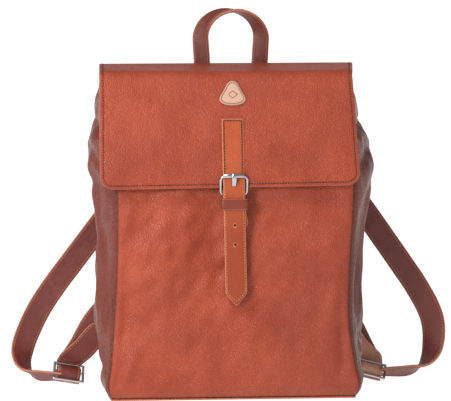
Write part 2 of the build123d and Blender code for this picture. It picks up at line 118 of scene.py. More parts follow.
def by_height(values, z):
    """A smooth curve through the sizes given at each of HEIGHTS."""
    xs, ys = np.array(HEIGHTS, float), np.array(values, float)
    slopes = np.gradient(ys, xs)
    z = np.clip(z, xs[0], xs[-1])
    i = np.clip(np.searchsorted(xs, z) - 1, 0, len(xs) - 2)
    span = xs[i + 1] - xs[i]
    t = (z - xs[i]) / span
    start = (1 + 2 * t) * (1 - t) ** 2 * ys[i] + t * (1 - t) ** 2 * span * slopes[i]
    return start + t * t * (3 - 2 * t) * ys[i + 1] + t * t * (t - 1) * span * slopes[i + 1]


def ripple(x, y, span, seed):
    """A seeded unevenness between about -1 and 1, in waves about span long."""
    draw = np.random.default_rng(seed)
    total = 0
    for _ in range(6):
        angle, phase, size = draw.uniform(0, 2 * pi), draw.uniform(0, 2 * pi), draw.uniform(0.7, 1.5)
        total = total + np.sin((x * cos(angle) + y * sin(angle)) * 2 * pi / (span * size) + phase)
    return total / 3


def folds(x, y, marks):
    """Soft hollows and ridges: each mark is a centre, an angle, a length, a width and a height."""
    total = 0
    for cx, cy, angle, length, width, height in marks:
        c, s = cos(radians(angle)), sin(radians(angle))
        along = ((x - cx) * c + (y - cy) * s) / length
        across = (-(x - cx) * s + (y - cy) * c) / width
        total = total + height * np.exp(-(along**2) - across**2)
    return total


def rounded(points, radii, closed=False, steps=10):
    """A polyline with an arc of the given radius at each corner."""
    points = [np.array(p, float) for p in points]
    count = len(points)
    corners = list(range(count)) if closed else list(range(1, count - 1))
    radii = radii if hasattr(radii, "__len__") else [radii] * len(corners)
    out = [] if closed else [points[0]]
    for index, radius in zip(corners, radii):
        corner = points[index]
        back, ahead = unit(points[index - 1] - corner), unit(points[(index + 1) % count] - corner)
        half = np.arccos(np.clip(back @ ahead, -1, 1)) / 2
        reach, sweep = radius / np.tan(half), pi - 2 * half
        centre = corner + unit(back + ahead) * radius / np.sin(half)
        start, end = corner + back * reach - centre, corner + ahead * reach - centre
        for t in np.linspace(0, 1, steps + 1):
            out.append(centre + (start * sin((1 - t) * sweep) + end * sin(t * sweep)) / sin(sweep))
    if not closed:
        out.append(points[-1])
    return np.array(out)


def looped(loop):
    return np.vstack([loop, loop[:1]])


def rounded_box(x0, x1, y0, y1, radius, steps=10):
    return rounded([(x0, y0), (x1, y0), (x1, y1), (x0, y1)], radius, closed=True, steps=steps)


def spline(points, steps=10):
    """A Catmull-Rom curve through points."""
    p = np.array(points, float)
    p = np.vstack([2 * p[0] - p[1], p, 2 * p[-1] - p[-2]])
    t = (np.arange(steps) / steps)[:, None]
    out = []
    for a, b, c, d in zip(p, p[1:], p[2:], p[3:]):
        out.append((2 * b + (c - a) * t + (2 * a - 5 * b + 4 * c - d) * t**2 + (3 * b - a - 3 * c + d) * t**3) / 2)
    return np.vstack([*out, p[-2]])


def lengths_of(points):
    return np.concatenate([[0], np.cumsum(np.linalg.norm(np.diff(points, axis=0), axis=1))])


def box_mm(node):
    return [np.array(corner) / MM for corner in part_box(node)]


def read(lengths, points, s):
    """The point of a polyline at distance s along it."""
    return np.stack([np.interp(s, lengths, points[:, k]) for k in range(points.shape[1])], -1)


def profile(path):
    """A (y, z) path's length, and its y and z at distance b along it."""
    lengths = lengths_of(path)
    return float(lengths[-1]), lambda b: [np.interp(b, lengths, path[:, k]) for k in (0, 1)]


def turned(point):
    """Marks a surface whose a runs right while its b runs down, so that its face is the other way round."""
    point.turned = True
    return point


def is_turned(point):
    return getattr(point, "turned", False)


def outward(point, a, b, reach=0.2):
    """The face direction of a surface point(a, b)."""
    across = point(a + reach, b) - point(a - reach, b)
    along = point(a, b + reach) - point(a, b - reach)
    return unit(np.cross(across, along)) * (-1 if is_turned(point) else 1)


# ------------------------------------------------------------------ shells: points, faces and marks
def spaced(low, high, step, low_free=True, high_free=True):
    """Positions about step apart, closer together beside a cut edge."""
    inner_low = low + (EDGE_STEPS[-1] if low_free else 0)
    inner_high = high - (EDGE_STEPS[-1] if high_free else 0)
    middle = np.linspace(inner_low, inner_high, max(1, round((inner_high - inner_low) / step)) + 1)
    start = low + EDGE_STEPS[:-1] if low_free else []
    end = (high - EDGE_STEPS[:-1])[::-1] if high_free else []
    return np.concatenate([start, middle, end])


def faces_between(outer, inner, wrap=False, capped=False):
    """Quads over two grids of point numbers, and round their rims; capped closes the last row with two faces."""
    rows, columns = outer.shape
    faces = []
    ahead = [(j, (j + 1) % columns) for j in range(columns if wrap else columns - 1)]
    for i in range(rows - 1):
        for j, k in ahead:
            faces.append((outer[i, j], outer[i, k], outer[i + 1, k], outer[i + 1, j]))
            faces.append((inner[i + 1, j], inner[i + 1, k], inner[i, k], inner[i, j]))
    for j, k in ahead:
        faces.append((outer[0, k], outer[0, j], inner[0, j], inner[0, k]))
        if not capped:
            faces.append((outer[-1, j], outer[-1, k], inner[-1, k], inner[-1, j]))
    if capped:
        faces += [tuple(outer[-1]), tuple(inner[-1][::-1])]
    if not wrap:
        for i in range(rows - 1):
            faces.append((outer[i, 0], outer[i + 1, 0], inner[i + 1, 0], inner[i, 0]))
            faces.append((outer[i + 1, -1], outer[i, -1], inner[i, -1], inner[i + 1, -1]))
    return faces


def two_faces(outer_point, normal, far, thick, grooves=(), slack=0.3):
    """Outer and inner points of a sheet whose edges are rounded, far from its edges."""
    share = 1 - clamp(far / EDGE_STEPS[-1])
    full = slack + (1 - slack) * np.sqrt(1 - share**2)
    shave = (thick / 2 * (1 - full))[..., None] * normal
    outer = outer_point - shave
    for distance, width, depth in grooves:
        outer = outer - (depth * np.exp(-(((far - distance) / width) ** 2)))[..., None] * normal
    return outer, outer_point - normal * thick + shave


def two_sided(outer, inner, faces, far, grooves, worn=1.0):
    return {
        "points": np.concatenate([outer.reshape(-1, 3), inner.reshape(-1, 3)]),
        "faces": faces,
        "marks": marks(far, grooves, worn),
    }


def marks(far, grooves, worn=1.0):
    """How worn each point's edge is, how dark its groove is, and which face it is on."""
    edge = clamp(1 - far / 1.3).ravel() * worn
    dark = np.zeros(far.size)
    for distance, width, depth in grooves:
        dark = np.maximum(dark, np.exp(-(((far.ravel() - distance) / (width * 1.3)) ** 2)) * min(1, depth * 1.6))
    side = np.zeros(far.size)
    return {
        "edge": np.concatenate([edge, edge]),
        "dark": np.concatenate([dark, dark * 0]),
        "side": np.concatenate([side, side + 1]),
    }


def sheet_shell(point, rows, limits, thick, step=3.0, free=(True,) * 4, grooves=(), wrap=False, worn=1.0):
    """A closed sheet over point(a, b). limits(b) gives a's range on a row; free says which edges are cut."""
    b = spaced(rows[0], rows[1], step, free[2], free[3])
    low, high = (np.broadcast_to(v, b.shape) for v in limits(b))
    width = float(np.max(high - low))
    if wrap:
        u = np.linspace(0, 1, max(8, round(width / step)), endpoint=False)
    else:
        u = spaced(0.0, width, step, free[0], free[1]) / width
    across = low[:, None] + (high - low)[:, None] * u
    along = np.repeat(b[:, None], len(u), axis=1)
    far = np.full(across.shape, 1e3)
    gaps = (across - low[:, None], high[:, None] - across, along - rows[0], rows[1] - along)
    for is_free, gap, is_side in zip(free, gaps, (True, True, False, False)):
        if is_free and not (wrap and is_side):
            far = np.minimum(far, gap)
    face = point(across, along)
    outer, inner = two_faces(face, outward(point, across, along), far, thick, grooves)
    numbers = np.arange(across.size).reshape(across.shape)
    faces = faces_between(numbers, numbers + across.size, wrap)
    if is_turned(point):
        faces = [face[::-1] for face in faces]
    return two_sided(outer, inner, faces, far, grooves, worn)


def patch_shell(point, outline, thick, grooves=(), step=2.5):
    """A closed sheet over point(a, b) inside a convex outline of (a, b)."""
    outline = np.array(outline, float)
    centre = outline.mean(0)
    spokes = outline - centre
    radius = np.linalg.norm(spokes, axis=1)
    depth = float(radius.min())
    insets = np.concatenate([EDGE_STEPS, np.linspace(EDGE_STEPS[-1], depth * 0.97, max(3, round(depth / step)))[1:]])
    flat = np.stack([centre + spokes * (1 - d / radius * (radius / depth) ** (d / depth))[:, None] for d in insets])
    far = np.repeat(insets[:, None], len(outline), axis=1)
    a, b = flat[..., 0], flat[..., 1]
    outer, inner = two_faces(point(a, b), outward(point, a, b), far, thick, grooves)
    numbers = np.arange(a.size).reshape(a.shape)
    faces = faces_between(numbers, numbers + a.size, wrap=True, capped=True)
    return two_sided(outer, inner, faces, far, grooves)


def plain_shell(points, faces):
    none = np.zeros(len(points))
    return {"points": points, "faces": faces, "marks": {"edge": none, "dark": none, "side": none}}


def tube_faces(numbers, closed=False, other_way=False):
    """Quads round rings of point numbers, with a cap at each end of an open tube; other_way turns them all over."""
    beside, ahead = np.roll(numbers, -1, 1), np.roll(numbers, -1, 0)
    middle = (beside, ahead) if other_way else (ahead, beside)
    corners = np.stack([numbers, middle[0], np.roll(beside, -1, 0), middle[1]], -1)
    faces = [tuple(quad) for quad in corners[: None if closed else -1].reshape(-1, 4)]
    caps = [] if closed else [tuple(numbers[0]), tuple(numbers[-1][::-1])]
    return faces + ([cap[::-1] for cap in caps] if other_way else caps)


def wire_shell(path, radius, closed=False, sides=14, squash=(1.0, 1.0), up=None):
    """A round wire along a path. radius may be one number or one for each point."""
    path = np.array(path, float)
    if closed:
        tangent = unit(np.roll(path, -1, 0) - np.roll(path, 1, 0))
    else:
        tangent = unit(np.gradient(path, axis=0))
    up = np.array(up if up is not None else (0.0, 0.0, 1.0))
    side = unit(np.cross(tangent, up))
    top = np.cross(side, tangent)
    radius = np.broadcast_to(radius, len(path))
    turn = np.arange(sides) * 2 * pi / sides
    wide, tall = squash[0] * np.cos(turn)[None, :, None], squash[1] * np.sin(turn)[None, :, None]
    ring = wide * side[:, None] + tall * top[:, None]
    points = path[:, None] + ring * radius[:, None, None]
    numbers = np.arange(len(path) * sides).reshape(len(path), sides)
    return plain_shell(points.reshape(-1, 3), tube_faces(numbers, closed))


STITCH_RINGS = ((-0.5, 0.3), (-0.33, 0.85), (0.0, 1.0), (0.33, 0.85), (0.5, 0.3))
STITCH_SIDES = 6


def stitch_shell(point, line, pitch=STITCH_PITCH, long=2.3, wide=0.42, lift=0.12, flip=False):
    """Thread stitches along a flat line of (a, b) points on a surface."""
    line = np.array(line, float)
    dense = read(lengths_of(line), line, np.arange(0, lengths_of(line)[-1], 0.6))
    there = lengths_of(point(dense[:, 0], dense[:, 1]))
    middles = np.arange(pitch * 0.6, there[-1] - pitch * 0.4, pitch)

    def at(s):
        flat = read(there, dense, s)
        return flat[:, 0], flat[:, 1]

    centre = point(*at(middles))
    tangent = unit(point(*at(middles + 0.6)) - point(*at(middles - 0.6)))
    normal = outward(point, *at(middles)) * (-1 if flip else 1)
    side = np.cross(tangent, normal)
    centre = centre + normal * lift
    turn = np.arange(STITCH_SIDES) * 2 * pi / STITCH_SIDES
    points = []
    for along, size in STITCH_RINGS:
        for angle in turn:
            reach = side * (cos(angle) * wide * size) + normal * (sin(angle) * wide * 0.8 * size)
            points.append(centre + tangent * (along * long) + reach)
    points = np.stack(points, 1)
    each = points.shape[1]
    template = tube_faces(np.arange(each).reshape(-1, STITCH_SIDES), other_way=True)
    faces = [tuple(n + m * each for n in face) for m in range(len(middles)) for face in template]
    return plain_shell(points.reshape(-1, 3), faces)


# ------------------------------------------------------------------ objects
def shown(name, data):
    obj = bpy.data.objects.new(name, data)
    bpy.context.scene.collection.objects.link(obj)
    return obj


def look_along(obj, way):
    obj.rotation_mode = "QUATERNION"
    obj.rotation_quaternion = way.to_track_quat("-Z", "Y")


def piece(name, parts, body=None, blend=None, also=(), cuts=()):
    """One object of shells, each with its material, in place of the node of its name and those in also.

    blend is (body, body, start, end) in millimetres; only whether it is given is used: such an object stays in world
    space, attached to no body.
    """
    points, faces, slots, values = [], [], [], {"edge": [], "dark": [], "side": []}
    start = 0
    for index, (shell, _) in enumerate(parts):
        points.append(shell["points"])
        faces.extend(tuple(int(n) + start for n in face) for face in shell["faces"])
        slots.extend([index] * len(shell["faces"]))
        for key, value in shell["marks"].items():
            values[key].append(value)
        start += len(shell["points"])
    mesh = bpy.data.meshes.new(name)
    mesh.from_pydata((np.concatenate(points) * MM).tolist(), [], faces)
    for _, material in parts:
        mesh.materials.append(material)
    mesh.polygons.foreach_set("material_index", slots)
    for key, value in values.items():
        attribute = mesh.attributes.new(key, "FLOAT", "POINT")
        attribute.data.foreach_set("value", np.concatenate(value).astype(np.float32))
    obj = shown(name, mesh)
    if cuts:
        cut_through(obj, cuts)
    finish_mesh(obj.data)
    if blend:
        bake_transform(obj)
    else:
        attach(obj, body)
    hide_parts(name, *also)
    return obj


def finish_mesh(mesh):
    """Shades the mesh and stores each point's place at rest, which the materials follow at every pose."""
    mesh.shade_smooth()
    mesh.set_sharp_from_angle(angle=radians(48))
    count = len(mesh.vertices)
    rest = np.zeros(count * 3, np.float32)
    mesh.vertices.foreach_get("co", rest)
    attribute = mesh.attributes.new("rest", "FLOAT_VECTOR", "POINT")
    attribute.data.foreach_set("vector", rest / MM)
    mesh.update()


CUT_LONG, CUT_SIDES = 14.0, 20


def cut_through(obj, cuts):
    """Cuts each (centre, axis, radius or half sizes) out of obj."""
    for centre, axis, size in cuts:
        mesh = bpy.data.meshes.new("cutter")
        if isinstance(size, float):
            ring = [(cos(t) * size, sin(t) * size) for t in np.arange(CUT_SIDES) * 2 * pi / CUT_SIDES]
        else:
            ring = [(-size[0], -size[1]), (size[0], -size[1]), (size[0], size[1]), (-size[0], size[1])]
        frame_of = Vector(axis).to_track_quat("Z", "Y").to_matrix()
        ends = (-CUT_LONG / 2, CUT_LONG / 2)
        points = [frame_of @ Vector((x, y, h)) + Vector(centre) for h in ends for x, y in ring]
        n = len(ring)
        faces = [tuple(range(n))[::-1], tuple(range(n, 2 * n))]
        faces += [(i, (i + 1) % n, n + (i + 1) % n, n + i) for i in range(n)]
        mesh.from_pydata([p * MM for p in points], [], faces)
        cutter = shown("cutter", mesh)
        modifier = obj.modifiers.new("cut", "BOOLEAN")
        modifier.object, modifier.operation, modifier.solver = cutter, "DIFFERENCE", "EXACT"
        bpy.context.view_layer.update()
        evaluated = obj.evaluated_get(bpy.context.evaluated_depsgraph_get())
        cut = bpy.data.meshes.new_from_object(evaluated)
        obj.modifiers.clear()
        obj.data = cut
        bpy.data.objects.remove(cutter)
        if isinstance(size, float):
            mark_hole(cut, Vector(centre) * MM, Vector(axis), (size + 0.5) * MM)


def mark_hole(mesh, centre, axis, radius):
    """Marks the rim of a punched hole as worn edge."""
    for vertex, mark in zip(mesh.vertices, mesh.attributes["edge"].data):
        away = vertex.co - centre
        if (away - axis * away.dot(axis)).length < radius:
            mark.value = 1.0


# ------------------------------------------------------------------ materials
class Tree:
    """The nodes of a material, or of another owner."""

    def __init__(self, name, owners=bpy.data.materials):
        self.owner = owners.new(name)
        self.owner.use_nodes = True
        self.nodes, self.links = self.owner.node_tree.nodes, self.owner.node_tree.links
        self.nodes.clear()

    def add(self, kind, inputs=(), **settings):
        node = self.nodes.new("ShaderNode" + kind)
        for key, value in settings.items():
            setattr(node, key, value)
        for key, value in dict(inputs).items():
            if isinstance(value, bpy.types.NodeSocket):
                self.links.new(value, node.inputs[key])
            else:
                node.inputs[key].default_value = value
        return node

    def rest(self):
        return self.add("Attribute", attribute_name="rest").outputs["Vector"]

    def mark(self, name):
        return self.add("Attribute", attribute_name=name).outputs["Fac"]

    def stretched(self, vector, scale, turn=(0, 0, 0)):
        inputs = {"Vector": vector, "Scale": scale, "Rotation": turn}
        return self.add("Mapping", inputs, vector_type="TEXTURE").outputs["Vector"]

    def noise(self, vector, scale, detail=3.0, rough=0.5):
        inputs = {"Vector": vector, "Scale": scale, "Detail": detail, "Roughness": rough}
        return self.add("TexNoise", inputs).outputs["Fac"]

    def span(self, value, low, high, to_low=0.0, to_high=1.0):
        inputs = {"Value": value, "From Min": low, "From Max": high, "To Min": to_low, "To Max": to_high}
        return self.add("MapRange", inputs, clamp=True).outputs["Result"]

    def math(self, operation, first, second=0.0):
        return self.add("Math", {0: first, 1: second}, operation=operation).outputs[0]

    def times(self, first, second):
        return self.math("MULTIPLY", first, second)

    def plus(self, first, second):
        return self.math("ADD", first, second)

    def mix(self, share, first, second, blend_type="MIX"):
        inputs = {0: share, 6: first, 7: second}
        return self.add("Mix", inputs, data_type="RGBA", blend_type=blend_type).outputs[2]

    def bump(self, height, distance, strength=1.0, below=None):
        inputs = {"Height": height, "Distance": distance, "Strength": strength}
        if below is not None:
            inputs["Normal"] = below
        return self.add("Bump", inputs).outputs["Normal"]

    def finish(self, **inputs):
        named = {key.replace("_", " "): value for key, value in inputs.items()}
        shader = self.add("BsdfPrincipled", named)
        self.add("OutputMaterial", {"Surface": shader.outputs[0]})
        return self.owner


def rgb(*values):
    return (*values, 1.0)


def dim(colour, share):
    return rgb(*[share * c for c in colour])


def leather(
    name, colour, deep, pale, raw, pebble=2.6, depth=0.00042, rough=0.40, flesh=None, crease=1.0, fade=None, shine=0.44
):
    """Pebbled leather: faint mottling, directional fine creases, worn cut edges, darker sewn grooves, and painted
    shade where the dark mark carries it.
    """
    t = Tree(name)
    colour, deep, pale, raw = (rgb(*c) for c in (colour, deep, pale, raw))
    rest = t.rest()
    cloud = t.noise(rest, 0.017, 3.0, 0.55)
    blotch = t.noise(rest, 0.075, 4.0, 0.6)
    fine = t.noise(rest, 0.9, 3.0, 0.6)
    slant = t.stretched(rest, (0.55, 1.0, 4.2), (0, radians(38), 0))
    hatch = t.noise(slant, 1.15, 4.0, 0.62)
    where = t.span(t.noise(rest, 0.028, 2.0, 0.5), 0.38, 0.60)
    bent = t.add("VectorMath", {0: rest, 1: t.add("TexNoise", {"Vector": rest, "Scale": 0.35}).outputs["Color"]})
    cells = t.add("TexVoronoi", {"Vector": bent.outputs[0], "Scale": 1 / pebble}, feature="DISTANCE_TO_EDGE")
    small = t.add(
        "TexVoronoi", {"Vector": bent.outputs[0], "Scale": 2.2 / pebble, "Smoothness": 0.6}, feature="SMOOTH_F1"
    )
    valley = t.span(cells.outputs["Distance"], 0.0, 0.26)
    tone = t.mix(t.span(cloud, 0.34, 0.70), deep, pale)
    tone = t.mix(0.62, tone, colour)
    tone = t.mix(t.span(blotch, 0.5, 0.74, 0.0, 0.22), tone, deep)
    tone = t.mix(t.span(valley, 0.0, 1.0, 0.45, 0.0), tone, deep)
    scuff = t.times(t.span(hatch, 0.53, 0.78, 0.0, 0.30 * crease), where)
    tone = t.mix(scuff, tone, pale)
    if fade is not None:
        height = t.add("SeparateXYZ", {0: rest}).outputs[2]
        tone = t.mix(t.span(height, fade[0], fade[1], fade[2], 0.0), tone, deep)
    if flesh is not None:
        nap = t.mix(t.span(fine, 0.3, 0.7), dim(flesh, 0.82), rgb(*flesh))
        tone = t.mix(t.span(t.mark("side"), 0.4, 0.6), tone, nap)
    # The dark mark darkens the sewn grooves and, on the walls, adds painted shade low on the bag's right.
    tone = t.mix(t.span(t.mark("dark"), 0.05, 1.0, 0.0, 0.75), tone, dim(deep[:3], 0.35))
    worn = t.times(t.span(t.mark("edge"), 0.1, 0.75), t.span(fine, 0.25, 0.6, 0.45, 1.0))
    tone = t.mix(worn, tone, raw)
    height = t.plus(t.times(valley, 0.65), t.times(small.outputs["Distance"], -0.4))
    height = t.plus(height, t.times(t.times(hatch, where), 0.9 * crease))
    normal = t.bump(height, depth)
    normal = t.bump(t.noise(rest, 0.045, 3.0, 0.5), 0.0016, 1.0, normal)
    gloss = t.plus(t.span(blotch, 0.3, 0.75, rough - 0.07, rough + 0.09), t.span(valley, 0.0, 1.0, 0.1, 0.0))
    return t.finish(Base_Color=tone, Roughness=gloss, Normal=normal, Specular_IOR_Level=shine)


def thread(name, colour, deep):
    """Twisted waxed thread."""
    t = Tree(name)
    rest = t.rest()
    ply = t.noise(t.stretched(rest, (1, 1, 0.6), (0, radians(30), 0)), 1.6, 2.0)
    tone = t.mix(t.span(ply, 0.35, 0.65), rgb(*deep), rgb(*colour))
    rough = t.span(ply, 0.3, 0.7, 0.5, 0.72)
    return t.finish(Base_Color=tone, Roughness=rough, Normal=t.bump(ply, 0.00008))


def metal(name, colour, rough_low, rough_high, scratch):
    """Plated wire with faint handling marks."""
    t = Tree(name)
    here = t.add("TexCoord").outputs["Object"]
    smear = t.noise(here, 90.0, 3.0)
    line = t.noise(t.stretched(here, (0.08, 1, 1), (0, 0, radians(12))), 1400.0, 2.0)
    tone = t.mix(t.span(smear, 0.4, 0.7), rgb(*colour), dim(colour, 0.84))
    rough = t.plus(t.span(smear, 0.35, 0.7, rough_low, rough_high), t.span(line, 0.6, 0.8, 0.0, 0.08))
    normal = t.bump(line, 0.000004 * scratch)
    return t.finish(Base_Color=tone, Metallic=1.0, Roughness=rough, Normal=normal)


def cloth(name, warp, weft, count):
    """Plain-woven cotton, count threads to the millimetre."""
    t = Tree(name)
    rest = t.rest()
    split = t.add("SeparateXYZ", {0: rest})
    level = t.plus(split.outputs[0], split.outputs[1])
    over = t.math("SINE", t.times(level, 2 * pi * count))
    under = t.math("SINE", t.times(split.outputs[2], 2 * pi * count))
    weave = t.times(over, under)
    slub = t.noise(rest, 0.6, 3.0)
    tone = t.mix(t.span(weave, -0.6, 0.6), rgb(*warp), rgb(*weft))
    tone = t.mix(t.span(slub, 0.45, 0.75, 0.0, 0.5), tone, dim(warp, 0.6))
    rough = t.span(slub, 0.3, 0.7, 0.8, 0.95)
    normal = t.bump(t.plus(weave, slub), 0.00012)
    return t.finish(Base_Color=tone, Roughness=rough, Normal=normal, Sheen_Weight=0.15)


def board(name, colour, grain):
    """Pressed fibre or foam: speckled and matte."""
    t = Tree(name)
    here = t.add("TexCoord").outputs["Object"]
    speck = t.noise(here, grain, 4.0, 0.7)
    tone = t.mix(t.span(speck, 0.35, 0.7), rgb(*colour), dim(colour, 1.7))
    rough = t.span(speck, 0.3, 0.7, 0.8, 0.95)
    return t.finish(Base_Color=tone, Roughness=rough, Normal=t.bump(speck, 0.0002))


def floor_paper(name, colour, glow):
    """A pale light table: it glows evenly behind the bag and fades a little towards the front."""
    t = Tree(name)
    here = t.add("TexCoord").outputs["Object"]
    tooth = t.noise(here, 260.0, 2.0)
    tone = t.mix(t.span(tooth, 0.3, 0.7), rgb(*colour), dim(colour, 0.985))
    rough = t.span(tooth, 0.3, 0.7, 0.75, 0.85)
    depth = t.add("SeparateXYZ", {0: here}).outputs[1]
    shine = t.span(depth, -1.6, -0.12, 0.6 * glow, glow)
    white = rgb(1.0, 1.0, 1.0)
    return t.finish(Base_Color=tone, Roughness=rough, Emission_Color=white, Emission_Strength=shine)


RAW = (0.50, 0.17, 0.085)
MAIN = leather("leather_main", (0.375, 0.048, 0.010), (0.215, 0.020, 0.005), (0.500, 0.090, 0.028), RAW)
# Painted shade: the gusset leather is a darker copy of the main leather, because the sides get less light.
MAIN_SHADED_SIDE = leather(
    "leather_gusset_painted_shade", (0.180, 0.027, 0.010), (0.085, 0.010, 0.005), (0.330, 0.066, 0.036), RAW,
    pebble=3.0, rough=0.28, shine=0.36,
)
STRAP = leather(
    "leather_strap", (0.500, 0.098, 0.021), (0.285, 0.040, 0.010), (0.600, 0.150, 0.050), (0.62, 0.24, 0.10),
    pebble=1.6, depth=0.00016, rough=0.40, crease=0.4, fade=(190.0, 262.0, 0.9), shine=0.34,
)
DARK_TONES = ((0.165, 0.027, 0.017), (0.085, 0.013, 0.009), (0.250, 0.055, 0.038), (0.46, 0.17, 0.10))
DARK_GRAIN = {"pebble": 1.6, "depth": 0.00018, "rough": 0.36, "crease": 0.5}
DARK = leather("leather_dark", *DARK_TONES, **DARK_GRAIN)
TAIL = leather("leather_tail", *DARK_TONES, **DARK_GRAIN, flesh=(0.62, 0.30, 0.19))
KEEPER = leather(
    "leather_keeper", (0.210, 0.030, 0.011), (0.130, 0.016, 0.007), (0.300, 0.055, 0.024), (0.36, 0.10, 0.04),
    pebble=1.2, depth=0.00008, rough=0.34, crease=0.2,
)
NATURAL = leather(
    "leather_natural", (0.640, 0.400, 0.290), (0.500, 0.270, 0.170), (0.700, 0.470, 0.360), (0.34, 0.16, 0.09),
    pebble=1.1, depth=0.00006, rough=0.5, crease=0.2,
)
THREAD_DARK = thread("thread_dark", (0.060, 0.014, 0.008), (0.028, 0.007, 0.005))
THREAD_TAN = thread("thread_tan", (0.60, 0.22, 0.09), (0.36, 0.10, 0.04))
CHROME = metal("chrome_wire", (0.56, 0.56, 0.58), 0.06, 0.14, 1.0)
STEEL = metal("steel_snap", (0.60, 0.58, 0.56), 0.25, 0.38, 3.0)
LINING = cloth("lining_cloth", (0.17, 0.105, 0.07), (0.24, 0.155, 0.11), 1.1)
BOARD = board("base_board", (0.05, 0.045, 0.04), 900.0)
FOAM = board("pad_foam", (0.07, 0.07, 0.075), 1600.0)


# ------------------------------------------------------------------ the bag's walls
FRONT_MARKS = (
    (-80, 168, 80, 66, 33, 5.5),
    (-108, 194, 30, 20, 9, -2.6),
    (-30, 214, 96, 60, 16, -3.0),
    (-112, 138, 62, 26, 9, 1.8),
    (-88, 62, 34, 74, 18, 2.4),
    (-124, 96, 84, 40, 7, -2.0),
    (42, 112, -32, 84, 22, -2.4),
    (96, 176, 28, 62, 24, 3.0),
    (60, 208, -20, 50, 12, -1.8),
    (70, 42, 12, 70, 15, 1.6),
    (127, 82, 84, 44, 7, -3.2),
    (112, 112, 78, 40, 8, 1.8),
    (-134, 20, 58, 18, 6, -3.2),
    (-121, 34, 66, 26, 6, 2.2),
    (-30, 22, 3, 90, 9, -1.4),
    (20, 70, 50, 40, 14, 1.4),
)
SIDE_MARKS = (
    (-20, 306, 14, 42, 5.5, -6.5),
    (14, 288, -12, 46, 9, 3.4),
    (-34, 268, 30, 34, 6, -3.6),
    (24, 232, -24, 44, 8, -3.6),
    (-14, 214, 82, 46, 7, 3.4),
    (10, 190, 74, 52, 6, -3.4),
    (-32, 150, 80, 60, 6, -3.6),
    (-16, 132, 84, 60, 6, 3.2),
    (22, 96, 82, 58, 7, 3.0),
    (2, 84, 88, 50, 5, -3.2),
    (-28, 44, 36, 34, 9, 2.8),
    (18, 26, -16, 40, 7, -3.0),
    (0, 350, 4, 30, 9, -3.4),
)


def wall_point(kind, u, z, inset=0.0, pad=0.0):
    """The bag's outside at share u of one wall and height z, moved in by inset and, at the back, pad."""
    back = by_height(BACK_HALF, z) - inset
    y_front, y_back = by_height(FRONT_Y, z) + inset, by_height(BACK_Y, z) - inset
    u = clamp(u)
    if kind == "front":
        left, right = inset - by_height(FRONT_REACH["left"], z), by_height(FRONT_REACH["right"], z) - inset
        x, y = left + (right - left) * u, y_front - by_height(FRONT_CROWN, z) * np.sin(pi * u)
    elif kind == "back":
        x, y = back * (1 - 2 * u), y_back + 0 * u
    else:
        front, side = by_height(FRONT_REACH[kind], z) - inset, by_height(SIDE_REACH[kind], z) - inset
        share = u if kind == "right" else 1 - u
        x = front + (back - front) * share + (side - (front + back) / 2) * np.sin(pi * share) ** 0.8
        x = x if kind == "right" else -x
        y = y_front + (y_back - y_front) * share
    return np.stack([x, np.minimum(y, by_height(BACK_Y, z) - inset - pad), z + 0 * u], -1)


WALL_WIDTH = {"front": 276.0, "right": 126.0, "back": 280.0, "left": 126.0}
WALL_OUT = {"front": (0, -1, 0), "right": (1, 0, 0), "back": (0, 1, 0), "left": (-1, 0, 0)}


def sag(kind, p, a):
    """How far the soft leather stands out of the plain wall between its seams."""
    x, y, z = p[..., 0], p[..., 1], p[..., 2]
    weight = ease(FLOOR_Z, 26, z) * ease(RIM_Z - 4, RIM_Z - 26, z)
    loose = ease(0, 16, a) * ease(0, 16, WALL_WIDTH[kind] - a) * weight
    if kind == "front":
        calm = 0.45 + 0.55 * ease(70, 150, z) * ease(60, -20, x)
        height = 1.35 * folds(x, z, FRONT_MARKS) + calm * (2.3 * ripple(x, z, 62, 3) + 1.1 * ripple(x, z, 26, 5))
    elif kind == "back":
        height = -0.9 - 0.6 * ripple(x, z, 70, 7)
    else:
        seed = 11 if kind == "left" else 13
        height = folds(y, z, SIDE_MARKS) + 1.5 * ripple(y, z, 55, seed) + 0.8 * ripple(y, z / 2.2, 17, seed + 1)
    return height * loose


def wall_relief(kind, p, a):
    """The sag and the sewn seams at both ends of a wall."""
    gap = np.minimum(a, WALL_WIDTH[kind] - a)
    seam = -1.5 * np.exp(-((gap / 2.4) ** 2)) + 0.5 * np.exp(-(((gap - 6) / 3.5) ** 2))
    return sag(kind, p, a) + seam


def wall_surface(kind):
    def point(a, b):
        p = wall_point(kind, a / WALL_WIDTH[kind], b)
        return p + wall_relief(kind, p, a)[..., None] * np.array(WALL_OUT[kind], float)

    return point


# Painted shade on the walls: how dark it gets, and over which x and z it grows, low on the bag's right.
PAINTED_SHADE_LOW_RIGHT = 0.34
SHADE_X, SHADE_Z = (-20, 120), (205, 85)


def paint_shade_low_right(shell):
    """Painted shade: darkens the leather low on the bag's right, away from the key light."""
    x, z = shell["points"][:, 0], shell["points"][:, 2]
    right, low = ((v - start) / (end - start) for v, (start, end) in ((x, SHADE_X), (z, SHADE_Z)))
    weight = PAINTED_SHADE_LOW_RIGHT * clamp(right) * clamp(low)
    shell["marks"]["dark"] = np.maximum(shell["marks"]["dark"], weight)


def full_width(width):
    return lambda b: (0 * b, 0 * b + width)


